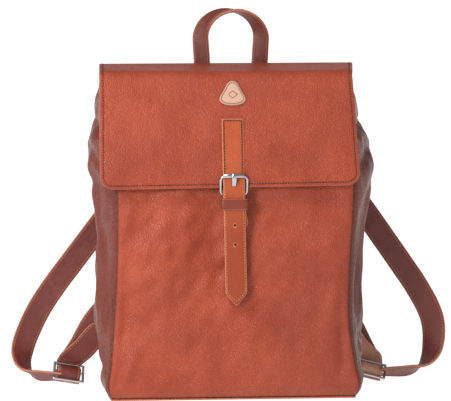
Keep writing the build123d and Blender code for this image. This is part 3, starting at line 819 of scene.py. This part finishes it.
def wall_piece(kind, name, material):
    point, width = wall_surface(kind), WALL_WIDTH[kind]
    shell = sheet_shell(
        point, (FLOOR_Z, RIM_Z), full_width(width), LEATHER, 2.5, grooves=[(0.0, 1.5, 0.5)], worn=0.0
    )
    # Painted shade low on the bag's right, added to the dark mark.
    paint_shade_low_right(shell)
    parts = [(shell, material)]
    rim = [(3, RIM_Z - 4), (width - 3, RIM_Z - 4)]
    parts.append((stitch_shell(point, rim), THREAD_TAN))
    if kind == "back":
        loop = rounded_box(width / 2 - PAD_HALF, width / 2 + PAD_HALF, *PAD_SEAM_Z, 14)
        parts.append((stitch_shell(point, looped(loop)), THREAD_TAN))
    return piece(name, parts, "bag")


def side_x(kind, y, z, inset=0.0):
    """The x of one gusset at y and height z."""
    y_front, y_back = by_height(FRONT_Y, z) + inset, by_height(BACK_Y, z) - inset
    share = clamp((y - y_front) / (y_back - y_front))
    return wall_point(kind, share if kind == "right" else 1 - share, z + 0 * share, inset)[..., 0]


def flat_floor(z, inset, level):
    """A level surface inside the walls' outline at height z."""
    rows = (float(by_height(FRONT_Y, z)) + inset, float(by_height(BACK_Y, z)) - inset)

    def point(a, b):
        return np.stack([a, b, level + 0 * a], -1)

    def limits(b):
        level_z = np.full(b.shape, z)
        return side_x("left", b, level_z, inset), side_x("right", b, level_z, inset)

    return point, rows, limits


def bag():
    wall_piece("front", "front_panel", MAIN)
    # The gussets use the darker copy of the main leather: painted shade on the sides.
    wall_piece("left", "left_gusset", MAIN_SHADED_SIDE)
    wall_piece("right", "right_gusset", MAIN_SHADED_SIDE)
    wall_piece("back", "back_panel", MAIN)
    point, rows, limits = flat_floor(FLOOR_Z, 0.6, 2.4)
    shell = sheet_shell(point, rows, limits, 2.3, 5.0, grooves=[(4, 0.9, 0.25)])
    line = np.linspace(rows[0] + 5, rows[1] - 5, 30)
    left, right = limits(line)
    ring = list(zip(right - 5, line)) + list(zip(left + 5, line))[::-1]
    stitches = stitch_shell(point, ring + ring[:1], lift=-2.35, flip=True)
    piece("base_panel", [(shell, MAIN), (stitches, THREAD_TAN)], "bag")
    lining()
    facing()
    padding()


def around(inset, pad, relief):
    """A surface round all four walls: a runs from 0 to 4, one unit to a wall."""
    def point(a, b):
        a = np.mod(a, 4.0)
        out = np.zeros(a.shape + (3,))
        for index, kind in enumerate(("front", "right", "back", "left")):
            here = (a >= index) & (a < index + 1)
            p = wall_point(kind, a - index, b, inset, pad)
            out_by = sag(kind, p, (a - index) * WALL_WIDTH[kind]) - relief(p, a - index)
            p = p + np.array(WALL_OUT[kind], float) * out_by[..., None]
            out = np.where(here[..., None], p, out)
        return out

    return point


def ring_shell(point, low, high, thick, columns, step, grooves=()):
    """A closed band round the bag's inside."""
    b = spaced(low, high, step)
    a = np.arange(columns) * 4 / columns
    across, along = np.meshgrid(a, b)
    far = np.minimum(along - low, high - along)
    centre = np.array([0.0, 2.0, 0.0])
    face = point(across, along)
    normal = face - centre
    normal[..., 2] = 0
    outer, inner = two_faces(face, unit(normal), far, thick, grooves)
    numbers = np.arange(across.size).reshape(across.shape)
    return two_sided(outer, inner, faces_between(numbers, numbers + across.size, True), far, grooves)


def lining():
    def creases(p, share):
        hold = np.sin(pi * clamp(share)) ** 0.6
        return hold * (1.0 + 0.9 * ripple(p[..., 0] + p[..., 1], p[..., 2], 46, 21))

    walls = ring_shell(around(3.5, 3.4, creases), 5.4, FACING_LOW - 0.4, CLOTH_THICK, 180, 5.0)
    point, rows, limits = flat_floor(12.0, 9.0, 5.9)
    ground = sheet_shell(point, rows, limits, CLOTH_THICK, 6.0)
    cloth = piece("lining", [(walls, LINING), (ground, LINING)], "bag")


def facing():
    point = around(2.35, 3.4, lambda p, share: 0 * share)
    shell = ring_shell(point, FACING_LOW, RIM_Z, 1.2, 260, 3.0, grooves=[(4, 0.9, 0.2)])
    piece("mouth_facing", [(shell, DARK)], "bag")


def padding():
    (x0, _, z0), (x1, y1, z1) = box_mm("back_padding")

    def point(a, b):
        crown = 0.5 * np.sin(pi * (a - x0) / (x1 - x0)) * np.sin(pi * (b - z0) / (z1 - z0))
        return np.stack([-a, y1 - 0.6 + crown, b], -1)

    loop = rounded_box(x0, x1, z0, z1, 12)
    shell = patch_shell(point, loop, 2.3, step=12)
    pad = piece("back_padding", [(shell, FOAM)], "bag")


# ------------------------------------------------------------------ the flap
FLAP_ROOT_Z = 344.0
FLAP_PROFILE = rounded(
    [(59.7, FLAP_ROOT_Z), (59.7, FLAP_TOP_Z), (-54.8, FLAP_TOP_Z), (-66.2, FLAP_LOW_Z)], [9, 13], steps=30
)
FLAP_LENGTHS = lengths_of(FLAP_PROFILE)
FLAP_LENGTH = FLAP_LENGTHS[-1]
FLAP_SPLIT = float(np.interp(-12.0, -FLAP_PROFILE[:, 0], FLAP_LENGTHS))
FLAP_FOLD_AT = float(np.interp(54.0, -FLAP_PROFILE[:, 0], FLAP_LENGTHS))
FLAP_HINGE_AT = float(np.interp(-54.0, -FLAP_PROFILE[:, 0], FLAP_LENGTHS))
FLAP_MARKS = (
    (-104, 285, 40, 44, 22, 1.3),
    (-60, 330, -25, 70, 22, -1.3),
    (78, 312, 22, 60, 20, 1.1),
    (112, 268, -35, 38, 16, -1.2),
    (-138, 262, 60, 24, 12, 1.6),
)


def flap_edge(side, b):
    """The x of the flap's left (0) or right (1) edge at distance b along it."""
    places = (FLAP_HINGE_AT, FLAP_FOLD_AT, FLAP_LENGTH)
    return np.interp(b, places, [FLAP_EDGES[key][side] for key in ("hinge", "fold", "low")])


def flap_surface(drop=0.0):
    """The flap over the top and down the front; drop moves it towards the bag."""
    slope = np.gradient(FLAP_PROFILE, axis=0)
    normals = unit(np.stack([slope[:, 1], -slope[:, 0]], -1))

    def point(a, b):
        spot, normal = read(FLAP_LENGTHS, FLAP_PROFILE, b), unit(read(FLAP_LENGTHS, normals, b))
        low = ease(FLAP_FOLD_AT, FLAP_LENGTH, b)
        front = ease(FLAP_FOLD_AT - 6, FLAP_FOLD_AT + 30, b)
        hang = folds(a, spot[..., 1], FLAP_MARKS) + 0.6 * ripple(a, spot[..., 1], 68, 31)
        bow = np.cos(pi * np.clip(a / FLAP_WIDE, -1, 1) / 2)
        hang = hang + 1.2 * bow + 0.15 * ripple(a, spot[..., 1], 17, 33)
        top = -1.1 * ease(8, 50, b - 25) * (1 - front) * bow * (1 + 0.4 * ripple(a, b, 80, 35))
        height = hang * front + top - drop
        y = spot[..., 0] + normal[..., 0] * height
        z = spot[..., 1] + normal[..., 1] * height + 1.5 * low * a / FLAP_WIDE
        return np.stack([a + 0 * b, y, z], -1)

    return turned(point)


def flap_limits(inset=0.0):
    def limits(b):
        near = np.clip(b - (FLAP_LENGTH - FLAP_CORNER), 0, FLAP_CORNER - 1e-3)
        cut = FLAP_CORNER - np.sqrt(FLAP_CORNER**2 - near**2) + inset
        return flap_edge(0, b) + cut, flap_edge(1, b) - cut

    return limits


FLAP_GROOVE = [(4.0, 0.9, 0.22)]
REAR_BEND = ("bag", "flap_top", (0, 60, 366), (0, 45, 374))
FRONT_BEND = ("flap_top", "flap_front", (0, -40, 372), (0, -58, 352))


def flap_stitches(point, line):
    return stitch_shell(point, line, long=2.2, wide=0.58)


def flap():
    point = flap_surface()
    rear = sheet_shell(
        point, (0, FLAP_SPLIT), flap_limits(), FLAP_THICK, 3.2, (True, True, True, False), FLAP_GROOVE, worn=0.45
    )
    front = sheet_shell(
        point, (FLAP_SPLIT, FLAP_LENGTH), flap_limits(), FLAP_THICK, 2.5, (True, True, False, True), FLAP_GROOVE,
        worn=0.55,
    )
    levels = np.linspace(2, FLAP_SPLIT, 60)
    rear_lines = [
        flap_stitches(point, np.stack([flap_edge(side, levels) + in_by, levels], -1))
        for side, in_by in ((0, FLAP_SEAM_IN), (1, -FLAP_SEAM_IN))
    ]
    end, turn = FLAP_LENGTH - FLAP_SEAM_IN, FLAP_CORNER - FLAP_SEAM_IN
    down = [(flap_edge(0, b) + FLAP_SEAM_IN, b) for b in (FLAP_SPLIT, FLAP_FOLD_AT, end)]
    up = [(flap_edge(1, b) - FLAP_SEAM_IN, b) for b in (end, FLAP_FOLD_AT, FLAP_SPLIT)]
    front_line = flap_stitches(point, rounded(down + up, [40, turn, turn, 40]))
    root = stitch_shell(point, [(-140, 4.0), (140, 4.0)])
    piece(
        "flap_top", [(rear, MAIN), (root, THREAD_TAN)] + [(s, THREAD_DARK) for s in rear_lines],
        blend=REAR_BEND,
    )
    piece(
        "flap_front", [(front, MAIN), (front_line, THREAD_DARK)],
        blend=FRONT_BEND,
    )
    under = flap_surface(FLAP_THICK + 0.1)
    for name, rows, bend in (
        ("flap_top_lining", (FLAP_LINING_FROM, FLAP_SPLIT - FLAP_LINING_GAP), REAR_BEND),
        ("flap_front_lining", (FLAP_SPLIT + FLAP_LINING_GAP, FLAP_LENGTH - FLAP_LINING_IN), FRONT_BEND),
    ):
        shell = sheet_shell(under, rows, flap_limits(FLAP_LINING_IN), CLOTH_THICK, 5.0)
        cloth = piece(name, [(shell, LINING)], blend=bend)
        left, right = flap_limits(FLAP_LINING_IN)(np.array([0.5 * (rows[0] + rows[1])]))


HANGING = slice(-34, None)


def flap_at(z):
    """The distance along the flap at which its hanging part is at height z."""
    return np.interp(-np.asarray(z, float), -FLAP_PROFILE[HANGING, 1], FLAP_LENGTHS[HANGING])


def on_flap(x, z, lift):
    """A point lifted off the hanging flap's outer face."""
    surface = flap_surface()
    b = flap_at(z)
    x = x + 0 * b
    return surface(x, b) + outward(surface, x, b) * np.expand_dims(lift + 0 * b, -1)


BADGE_MID = (-2.0, 348.4)
BADGE_HALF_OUTLINE = ((0.0, 13.8), (5.2, 11.6), (9.8, 3.8), (14.2, -4.0), (14.4, -8.6), (9.0, -12.4), (0.0, -13.6))


def badge():
    """A blank tan patch with a sewn border and a small stitched lozenge."""
    mid_x, mid_z = BADGE_MID

    def point(a, b):
        crown = 0.5 * (1 - clamp(((a - mid_x) / 16) ** 2 + ((b - mid_z) / 16) ** 2))
        return on_flap(a, b, 1.7 + crown)

    right = np.array(BADGE_HALF_OUTLINE)
    left = right[-2:0:-1] * np.array([-1.0, 1.0])
    loop = np.vstack([right, left])
    loop = spline(np.vstack([loop[-1:], loop, loop[:2]]), 8)[8:-8][:-1] + np.array(BADGE_MID)
    shell = patch_shell(point, loop, 1.6, grooves=[(2.2, 0.6, 0.3)], step=0.9)
    inner = BADGE_MID + (loop - BADGE_MID) * 0.84
    border = stitch_shell(point, looped(inner), 2.2, 1.6, 0.36)
    lozenge = np.array([(-5.4, -1.5), (0, -5.5), (5.4, -1.5), (0, 2.5), (-5.4, -1.5)]) + np.array(BADGE_MID)
    sign = stitch_shell(point, lozenge, 1.2, 1.5, 0.34, lift=0.02)
    piece(
        "badge", [(shell, NATURAL), (border, THREAD_DARK), (sign, THREAD_DARK)], "flap_front",
    )


# ------------------------------------------------------------------ the closure
def lean(z):
    """The closure hangs slightly to one side: how far to the right it is at height z."""
    return -2.2 + 4.4 * clamp((324 - z) / 216) ** 1.3


CLOSURE_TOP, CLOSURE_TIP = 320.5, 111.0
CLOSURE_SEAM_IN, CLOSURE_SEAM_SPLIT_Z = 2.1, 254
HOLE_RADIUS, PRONG_SLOT_Z, PRONG_SLOT_HALF = 1.7, 249.3, (2.6, 3.6)
CLOSURE_BEND = ("flap_front", "closure", (0, -66, 276), (0, -66, 258))


def closure_profile():
    sewn = [(float(on_flap(lean(z), z, STRAP_THICK)[1]), z) for z in (CLOSURE_TOP, 292.0, 264.0)]
    free = [(-72.9, 245.0), (-72.9, 212.0), (-71.0, 186.0), (-69.8, 122.0), (-69.8, CLOSURE_TIP)]
    return rounded(sewn + free, [60, 22, 22, 40, 60, 20], steps=16)


def closure():
    path = closure_profile()
    lengths = lengths_of(path)
    end = float(lengths[-1])

    def point(a, b):
        spot = read(lengths, path, b)
        puff = 0.25 * (1 - np.clip(a / STRAP_HALF, -1, 1) ** 2) + 0.12 * ripple(a, b, 34, 41)
        return np.stack([a + lean(spot[..., 1]), spot[..., 0] - puff, spot[..., 1]], -1)

    def limits(b):
        half = np.minimum(STRAP_HALF, 1.0 + 0.82 * (end - b))
        return -half, half

    turned(point)
    shell = sheet_shell(point, (0, end), limits, STRAP_THICK, 1.6, grooves=[(CLOSURE_SEAM_IN, 0.8, 0.30)])
    split = float(np.interp(-CLOSURE_SEAM_SPLIT_Z, -path[:, 1], lengths))
    rows = STRAP_HALF - CLOSURE_SEAM_IN
    edge_row = rounded([(-rows, split), (-rows, CLOSURE_SEAM_IN), (rows, CLOSURE_SEAM_IN), (rows, split)], 1.5)
    upper = stitch_shell(point, edge_row, wide=0.75)
    tip = [(-rows, split), (-rows, end - 14.5), (0, end - 3.6), (rows, end - 14.5), (rows, split)]
    lower = stitch_shell(point, rounded(tip, 3.0), wide=0.6)
    cuts = [((lean(z), -72.0, z), (0, -1, 0), HOLE_RADIUS) for z in HOLES_Z]
    cuts.append(((BUCKLE_SHIFT, -71.5, PRONG_SLOT_Z), (0, -1, 0), PRONG_SLOT_HALF))
    strap = piece(
        "closure_strap", [(shell, STRAP), (upper, THREAD_DARK), (lower, THREAD_TAN)],
        blend=CLOSURE_BEND, also=["closure_strap_upper"], cuts=cuts,
    )
    tab()
    keeper()
    buckle()
    return strap


def tab():
    """Leather folded round the hinge bar; its lower end shows a little past the strap."""
    bar_y, bar_z = HINGE_BAR
    path = rounded(
        [
            (bar_y - 1.6, 197.4), (bar_y - 1.6, 229), (bar_y - 3.4, 234), (bar_y - 3.4, bar_z + 3.4),
            (bar_y + 3.4, bar_z + 3.4), (bar_y + 3.4, 234), (bar_y + 1.6, 229), (bar_y + 1.6, 197.4),
        ],
        [6, 2, 3.2, 3.2, 2, 6],
    )
    end, place = profile(path)

    def point(a, b):
        y, z = place(b)
        return np.stack([-a + lean(z) + 2.3 * ease(224, 204, z), y, z], -1)

    def limits(b):
        gap = np.minimum(b, end - b)
        half = 12.2 - 7.0 * clamp(1 - gap / 7.0) ** 2
        return -half, half

    shell = sheet_shell(point, (0, end), limits, 1.5, 1.6)
    cut = ((BUCKLE_SHIFT, bar_y, bar_z + 1.5), (0, -1, 0), (2.7, 5.0))
    piece("buckle_tab", [(shell, STRAP)], "closure", cuts=[cut])


def keeper():
    low, high = 219.6, 232.2
    middle = lean(226.0)
    half_x, front, back = 14.7, -75.4, -63.0
    loop = looped(rounded_box(-half_x, half_x, front, back, 2.2, steps=8))
    lengths = lengths_of(loop)

    def point(a, b):
        spot = read(lengths, loop, np.mod(a, lengths[-1]))
        swell = 0.35 * np.sin(pi * clamp((b - low) / (high - low)))
        x = spot[..., 0] * (1 + swell / half_x)
        y = spot[..., 1] - swell * np.where(spot[..., 1] < -69, 1, -1)
        return np.stack([x + middle, y, b + 0 * a], -1)

    shell = sheet_shell(
        point, (low, high), full_width(lengths[-1]), 1.4, 1.4, grooves=[(1.8, 0.5, 0.15)], wrap=True
    )
    piece("keeper", [(shell, KEEPER)], "closure")


def buckle():
    """A bent-wire frame with a roller on its outer bar, and the prong."""
    (y0, z0), (y1, z1) = HINGE_BAR, OUTER_BAR
    along = unit(np.array([0.0, y1 - y0, z1 - z0]))
    span = float(np.hypot(y1 - y0, z1 - z0))
    base = np.array([BUCKLE_SHIFT, y0, z0])
    half = 14.9
    flat = rounded([(-half + 0.6, 0), (half - 0.6, 0), (half, span), (-half, span)], [4, 4, 5.5, 5.5], True, 12)
    path = base + np.stack([flat[:, 0], flat[:, 1] * along[1], flat[:, 1] * along[2]], -1)
    wire = wire_shell(path, 1.55, closed=True, sides=16, up=(0, -along[2], along[1]))
    ends = np.array([-11.3, -11.1, -10.7, 10.7, 11.1, 11.3])
    sizes = np.array([1.9, 2.35, 2.55, 2.55, 2.35, 1.9])
    middle = base + along * span
    roller = wire_shell(middle + ends[:, None] * np.array([1.0, 0, 0]), sizes, sides=28)
    piece("buckle_frame", [(wire, CHROME), (roller, CHROME)], "buckle")
    tip_y = y1 - 2.6 - 0.9
    blade = rounded(
        [
            (y0 - 3.2, z0 + 0.6), (y0 - 3.4, z0 + 9.5), (tip_y - 0.9, z1 - 3.5), (tip_y - 0.7, z1 + 1.2),
            (tip_y + 1.2, z1 + 3.2),
        ],
        [8, 8, 3],
    )
    end, place = profile(blade)

    def point(a, b):
        y, z = place(b)
        return np.stack([-a + BUCKLE_SHIFT, y - 0.35 * (1 - (a / 2.3) ** 2), z], -1)

    def limits(b):
        width = 2.3 - 1.3 * clamp(1 - (end - b) / 2.2) ** 2
        return -width, width

    tongue = sheet_shell(point, (0, end), limits, 1.7, 0.7)
    eye = wire_shell(
        [(BUCKLE_SHIFT - 2.1 + 4.2 * k / 6, y0, z0) for k in range(7)], [2.9, 3.2, 3.25, 3.3, 3.25, 3.2, 2.9], sides=20
    )
    piece("buckle_prong", [(tongue, CHROME), (eye, CHROME)], "prong")


# ------------------------------------------------------------------ bands: handle and straps
def band_surface(middles, widths, lift, crown=0.35, half=BAND_HALF):
    """point(a, b) of a band with the given middle line and width directions, and its length."""
    tangent = unit(np.gradient(middles, axis=0))
    widths = unit(widths - tangent * np.sum(widths * tangent, -1, keepdims=True))
    normal = np.cross(widths, tangent)
    lengths = lengths_of(middles)

    def point(a, b):
        puff = lift + crown * (1 - np.clip(a / half, -1, 1) ** 2)
        spot, across, out = (read(lengths, v, b) for v in (middles, widths, normal))
        return spot + across * np.expand_dims(a, -1) + out * np.expand_dims(puff, -1)

    return point, float(lengths[-1])


def band_parts(middles, widths, half, thick, material, thread_of, in_by=2.8, step=2.2, end_shape=None, both=True):
    """A sewn band: its leather and the two rows of stitches on each face."""
    point, end = band_surface(middles, widths, thick / 2, half=half)
    back, _ = band_surface(middles, -widths, thick / 2, half=half)

    def limits(b):
        here = np.full(b.shape, half)
        if end_shape == "bevel":
            here = half - 4.0 * clamp(1 - (end - b) / 5.0) ** 2
        return -here, here

    shell = sheet_shell(point, (0, end), limits, thick, step, grooves=[(in_by, 0.7, 0.26)])
    parts = [(shell, material)]
    for surface in (point, back) if both else (point,):
        for side in (-1, 1):
            row = side * (half - in_by)
            parts.append((stitch_shell(surface, [(row, 2.0), (row, end - 2.0)]), thread_of))
    return parts


def handle_line():
    """Legs face-on at the yoke, twisting until the top of the arch lies flat: middles and width directions."""
    middles, widths = [], []
    for z in (343.0, 352.0, 361.0, 367.0, 373.0, 382.0, 392.0):
        share = max(0.0, (z - 367.0) / (HANDLE_SPRING_Z - 367.0))
        tuck = -0.6 * (1 - ease(358, 372, z))
        middles.append((-HANDLE_X - 2 * share, HANDLE_Y + tuck, z))
        twist = radians(18 * share)
        widths.append((-cos(twist), sin(twist), 0.0))
    for degrees in range(0, 91, 10):
        a, twist = radians(degrees), radians(18 + 72 * degrees / 90)
        middles.append((-(HANDLE_X + 2) * cos(a), HANDLE_Y, HANDLE_SPRING_Z + 32 * sin(a)))
        widths.append((-cos(a) * cos(twist), sin(twist), sin(a) * cos(twist)))
    middles += [(-x, y, z) for x, y, z in reversed(middles[:-1])]
    widths += [(x, y, -z) for x, y, z in reversed(widths[:-1])]
    return spline(middles, 5) + np.array([HANDLE_SHIFT, 0, 0]), spline(widths, 5)


def handle():
    middles, widths = handle_line()
    parts = band_parts(middles, widths, HANDLE_HALF, HANDLE_THICK, DARK, THREAD_TAN, in_by=2.4, step=1.8)
    piece(
        "handle", parts, blend=("bag", "handle", (0, 61, 360), (0, 61, 374)),
        also=["handle_ends"],
    )

    def point(a, b):
        over = 0.5 * ease(350, 344, b)
        return np.stack([HANDLE_SHIFT - a, 64.3 - over + 0.25 * ripple(a, b, 40, 51), b], -1)

    loop = rounded([(-60, 330), (60, 330), (62, 346), (50, 361), (-50, 361), (-62, 346)], 6, closed=True)
    shell = patch_shell(point, loop, 1.7, grooves=[(3, 0.8, 0.25)], step=3.5)
    inner = rounded([(-56, 333.5), (56, 333.5), (58, 346), (48, 357.5), (-48, 357.5), (-58, 346)], 4, closed=True)
    stitches = stitch_shell(point, looped(inner))
    piece("back_yoke", [(shell, MAIN), (stitches, THREAD_TAN)], "bag")


LEFT = {
    "side": -1,
    "name": "left",
    "top": (-50, 331),
    "swing_z": 225.0,
    "free": [
        ((-160, 60.6, 169), (0.80, 0, -0.60)),
        ((-178, 61.5, 145), (0.81, 0, -0.59)),
        ((-199, 62.5, 117), (0.83, 0, -0.55)),
        ((-217.5, 64, 89), (0.88, 0, -0.47)),
        ((-231, 65, 61.5), (0.93, 0.08, -0.35)),
        ((-238, 64.5, 41), (0.93, 0.30, -0.20)),
        ((-238.5, 61, 26), (0.70, 0.70, -0.10)),
        ((-232, 56, 15), (0.40, 0.85, -0.35)),
        ((-220, 52.5, 10.5), (0.10, 0.83, -0.55)),
        ((-206, 51, 9.8), (0.0, 0.86, -0.50)),
        ((-193, 50, 9.4), (0.0, 0.90, -0.42)),
    ],
    "slide": (-185, 48, 14.5),
    "slide_across": (0.97, 0.10, -0.18),
    "slide_up": (0.30, 0.68, 0.66),
    "tail": [(-167, 61, 40), (-156, 61.5, 53), (-146, 61.5, 62)],
    "anchor": [(-172, 66, 41), (-157, 66.5, 68), (-143, 65, 86)],
    "anchor_end": [(-128, 62.8, 104), (-116, 61.7, 116), (-98, 61.7, 132)],
}
RIGHT = {
    "side": 1,
    "name": "right",
    "top": (58, 334),
    "swing_z": 256.0,
    "free": [
        ((160, 60.6, 200), (-0.80, 0, -0.60)),
        ((184, 61.5, 166), (-0.81, 0, -0.59)),
        ((203.5, 62.5, 138), (-0.82, 0, -0.57)),
        ((222.5, 64, 110), (-0.85, 0.05, -0.52)),
        ((238, 65, 82), (-0.88, 0.15, -0.40)),
        ((244, 65, 61), (-0.88, 0.30, -0.20)),
        ((243.5, 63, 40), (-0.80, 0.55, -0.05)),
        ((238.5, 59.5, 25.5), (-0.60, 0.75, -0.15)),
        ((228, 56, 14.5), (-0.35, 0.85, -0.40)),
        ((212, 53.5, 10), (0.0, 0.83, -0.56)),
        ((190, 52, 9.6), (0.0, 0.86, -0.50)),
        ((177, 51, 9.4), (0.0, 0.90, -0.42)),
    ],
    "slide": (168, 49, 14),
    "slide_across": (-0.96, 0.05, 0.25),
    "slide_up": (-0.20, 0.72, 0.62),
    "tail": [(155, 61.8, 37), (148, 62, 47), (141, 62, 57)],
    "anchor": [(160, 66.6, 37), (148, 66.8, 62), (138, 65.5, 80)],
    "anchor_end": [(126, 62.8, 102), (116, 61.7, 113), (98, 61.7, 130)],
}
TAIL_WEAVE = ((-12, -3.6), (-9, -3.2), (-3.6, 4.6), (0, 5.8), (3.6, 4.6), (9, -3.2), (12, -3.7), (17, -3.5))
ANCHOR_WEAVE = ((0.8, -3.6), (6, -5.6), (11, -7.4), (17, -8.0))


def strap(s):
    side, name = s["side"], s["name"]
    bend = ("bag", f"{name}_strap", (side * 110, 60, 200), (side * 126, 60, 200))
    top_x, top_z = s["top"]
    swing = np.array([side * SWING_X, 60.0, s["swing_z"]])
    top = np.array([top_x, 59.9, top_z])
    flat = np.array([-side * abs(swing[2] - top_z), 0, -abs(swing[0] - top_x)])
    flat = unit(flat)
    fixed = [(tuple(top + (swing - top) * k), tuple(flat)) for k in (0, 0.33, 0.67, 1.0)]
    route = fixed + s["free"]
    middles = spline([m for m, _ in route], 8)
    widths = spline([w for _, w in route], 8)
    parts = band_parts(middles, widths, BAND_HALF, BAND_THICK, DARK, THREAD_TAN)
    piece(
        f"{name}_shoulder_strap", parts, blend=bend,
        also=[f"{name}_strap_upper"],
    )
    tail(s)
    anchor(s, bend)


def slide_across(s):
    return unit(np.array(s["slide_across"], float))


def slide_point(s, up_by, out_by):
    across = slide_across(s)
    up = np.array(s["slide_up"], float)
    up = unit(up - across * (up @ across))
    face = np.cross(across, up) * -s["side"]
    return np.array(s["slide"], float) + up * up_by + face * out_by


def woven(s, weave, after, shares):
    """The middles and widths of a band that runs through the slide and then follows the points after it."""
    across = slide_across(s)
    flat = np.array([-0.84 * s["side"], 0, -0.5])
    middles = [slide_point(s, up_by, out_by) for up_by, out_by in weave] + [np.array(p, float) for p in after]
    widths = [across] * len(weave) + [across * (1 - k) + flat * k for k in shares]
    return spline(middles, 6), spline(widths, 6)


def tail(s):
    name = s["name"]
    middles, widths = woven(s, TAIL_WEAVE, s["tail"], (0.5, 1, 1))
    parts = band_parts(middles, widths, BAND_HALF - 0.4, 2.4, TAIL, THREAD_TAN, end_shape="bevel")
    piece(
        f"{name}_strap_tail", parts, f"{name}_strap"
    )


def anchor(s, bend):
    name = s["name"]
    middles, widths = woven(s, ANCHOR_WEAVE, s["anchor"] + s["anchor_end"], (0.6, 1, 1, 1, 1, 1))
    parts = band_parts(middles, widths, BAND_HALF - 0.6, 2.6, DARK, THREAD_TAN)
    piece(f"{name}_anchor_strap", parts, blend=bend)
    low, high = box_mm(f"{name}_anchor_patch")

    def point(a, b):
        return np.stack([-a, high[1] + 0.1 * ripple(a, b, 18, 61), b], -1)

    x0, x1 = sorted((-low[0], -high[0]))
    seam = 3
    loop = rounded_box(x0, x1, low[2], high[2], 4)
    inner = rounded_box(x0 + seam, x1 - seam, low[2] + seam, high[2] - seam, 3)
    shell = patch_shell(point, loop, 1.9, grooves=[(seam, 0.7, 0.25)], step=2.0)
    stitches = stitch_shell(point, looped(inner))
    piece(
        f"{name}_anchor_patch", [(shell, DARK), (stitches, THREAD_TAN)], "bag",
    )


# ------------------------------------------------------------------ carried-over metal
def carried_over():
    finishes = {
        "left_slide": CHROME, "right_slide": CHROME, "snap_socket": STEEL, "snap_stud": STEEL,
        "snap_washer": STEEL, "base_board": BOARD,
    }
    for node, material in finishes.items():
        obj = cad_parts[node]
        for slot in obj.material_slots:
            slot.material = material


# ------------------------------------------------------------------ stage, light and camera
FLOOR_HALF, FLOOR_CELLS = 60.0, 12


def stage():
    mesh = bpy.data.meshes.new("floor")
    line = np.linspace(-FLOOR_HALF, FLOOR_HALF, FLOOR_CELLS + 1)
    n = np.arange(line.size**2).reshape(line.size, -1)
    cells = np.stack([n[:-1, :-1], n[:-1, 1:], n[1:, 1:], n[1:, :-1]], -1).reshape(-1, 4)
    mesh.from_pydata([(x, y, 0.0) for y in line for x in line], [], cells.tolist())
    floor = shown("floor", mesh)
    mesh.materials.append(floor_paper("pale_floor", (0.30, 0.30, 0.30), 0.92))


def light(kind, name, power, place, size, colour=(1, 1, 1), aim=(0, 0, 0.2)):
    data = bpy.data.lights.new(name, kind)
    data.energy, data.color = power, colour
    if kind == "AREA":
        data.shape, data.size = "DISK", size
    else:
        data.angle = radians(size)
    lamp = shown(name, data)
    lamp.location = place
    look_along(lamp, Vector(aim) - Vector(place))


def lights():
    light("SUN", "sky_light", 1.35, (-0.9, -1.0, 2.3), 18)
    light("AREA", "window_light", 11.5, (-0.78, -1.05, 0.66), 0.42, (1.0, 0.95, 0.96))
    t = Tree("studio", bpy.data.worlds)
    level = t.add("SeparateXYZ", {0: t.add("TexCoord").outputs["Generated"]}).outputs[2]
    ramp = t.add("ValToRGB", {0: level})
    stops = ((0.05, rgb(1, 1, 1)), (0.16, rgb(0.34, 0.34, 0.36)))
    for stop, (position, colour) in zip(ramp.color_ramp.elements, stops):
        stop.position, stop.color = position, colour
    back = t.add("Background", {0: ramp.outputs[0], 1: 1.0})
    t.add("OutputWorld", {0: back.outputs[0]})
    bpy.context.scene.world = t.owner


CAMERA_AZIMUTH, CAMERA_ELEVATION = radians(-4.0), radians(7.5)
CAMERA_AWAY = 3.2
VIEW_RIGHT, VIEW_UP, VIEW_WIDE = -0.00575, 0.21855, 0.51865


def camera():
    a, e = CAMERA_AZIMUTH, CAMERA_ELEVATION
    back = Vector((sin(a) * cos(e), -cos(a) * cos(e), sin(e)))
    right = Vector((cos(a), sin(a), 0))
    up = back.cross(right)
    data = bpy.data.cameras.new("camera")
    data.sensor_width = 36.0
    data.lens = data.sensor_width * CAMERA_AWAY / VIEW_WIDE
    data.clip_start, data.clip_end = 0.05, 200.0
    lens = shown("camera", data)
    lens.location = right * VIEW_RIGHT + up * VIEW_UP + back * CAMERA_AWAY
    look_along(lens, -back)
    bpy.context.scene.camera = lens


bpy.context.scene.view_settings.view_transform = "Standard"
bag()
flap()
badge()
closure()
handle()
strap(LEFT)
strap(RIGHT)
carried_over()
stage()
lights()
camera()
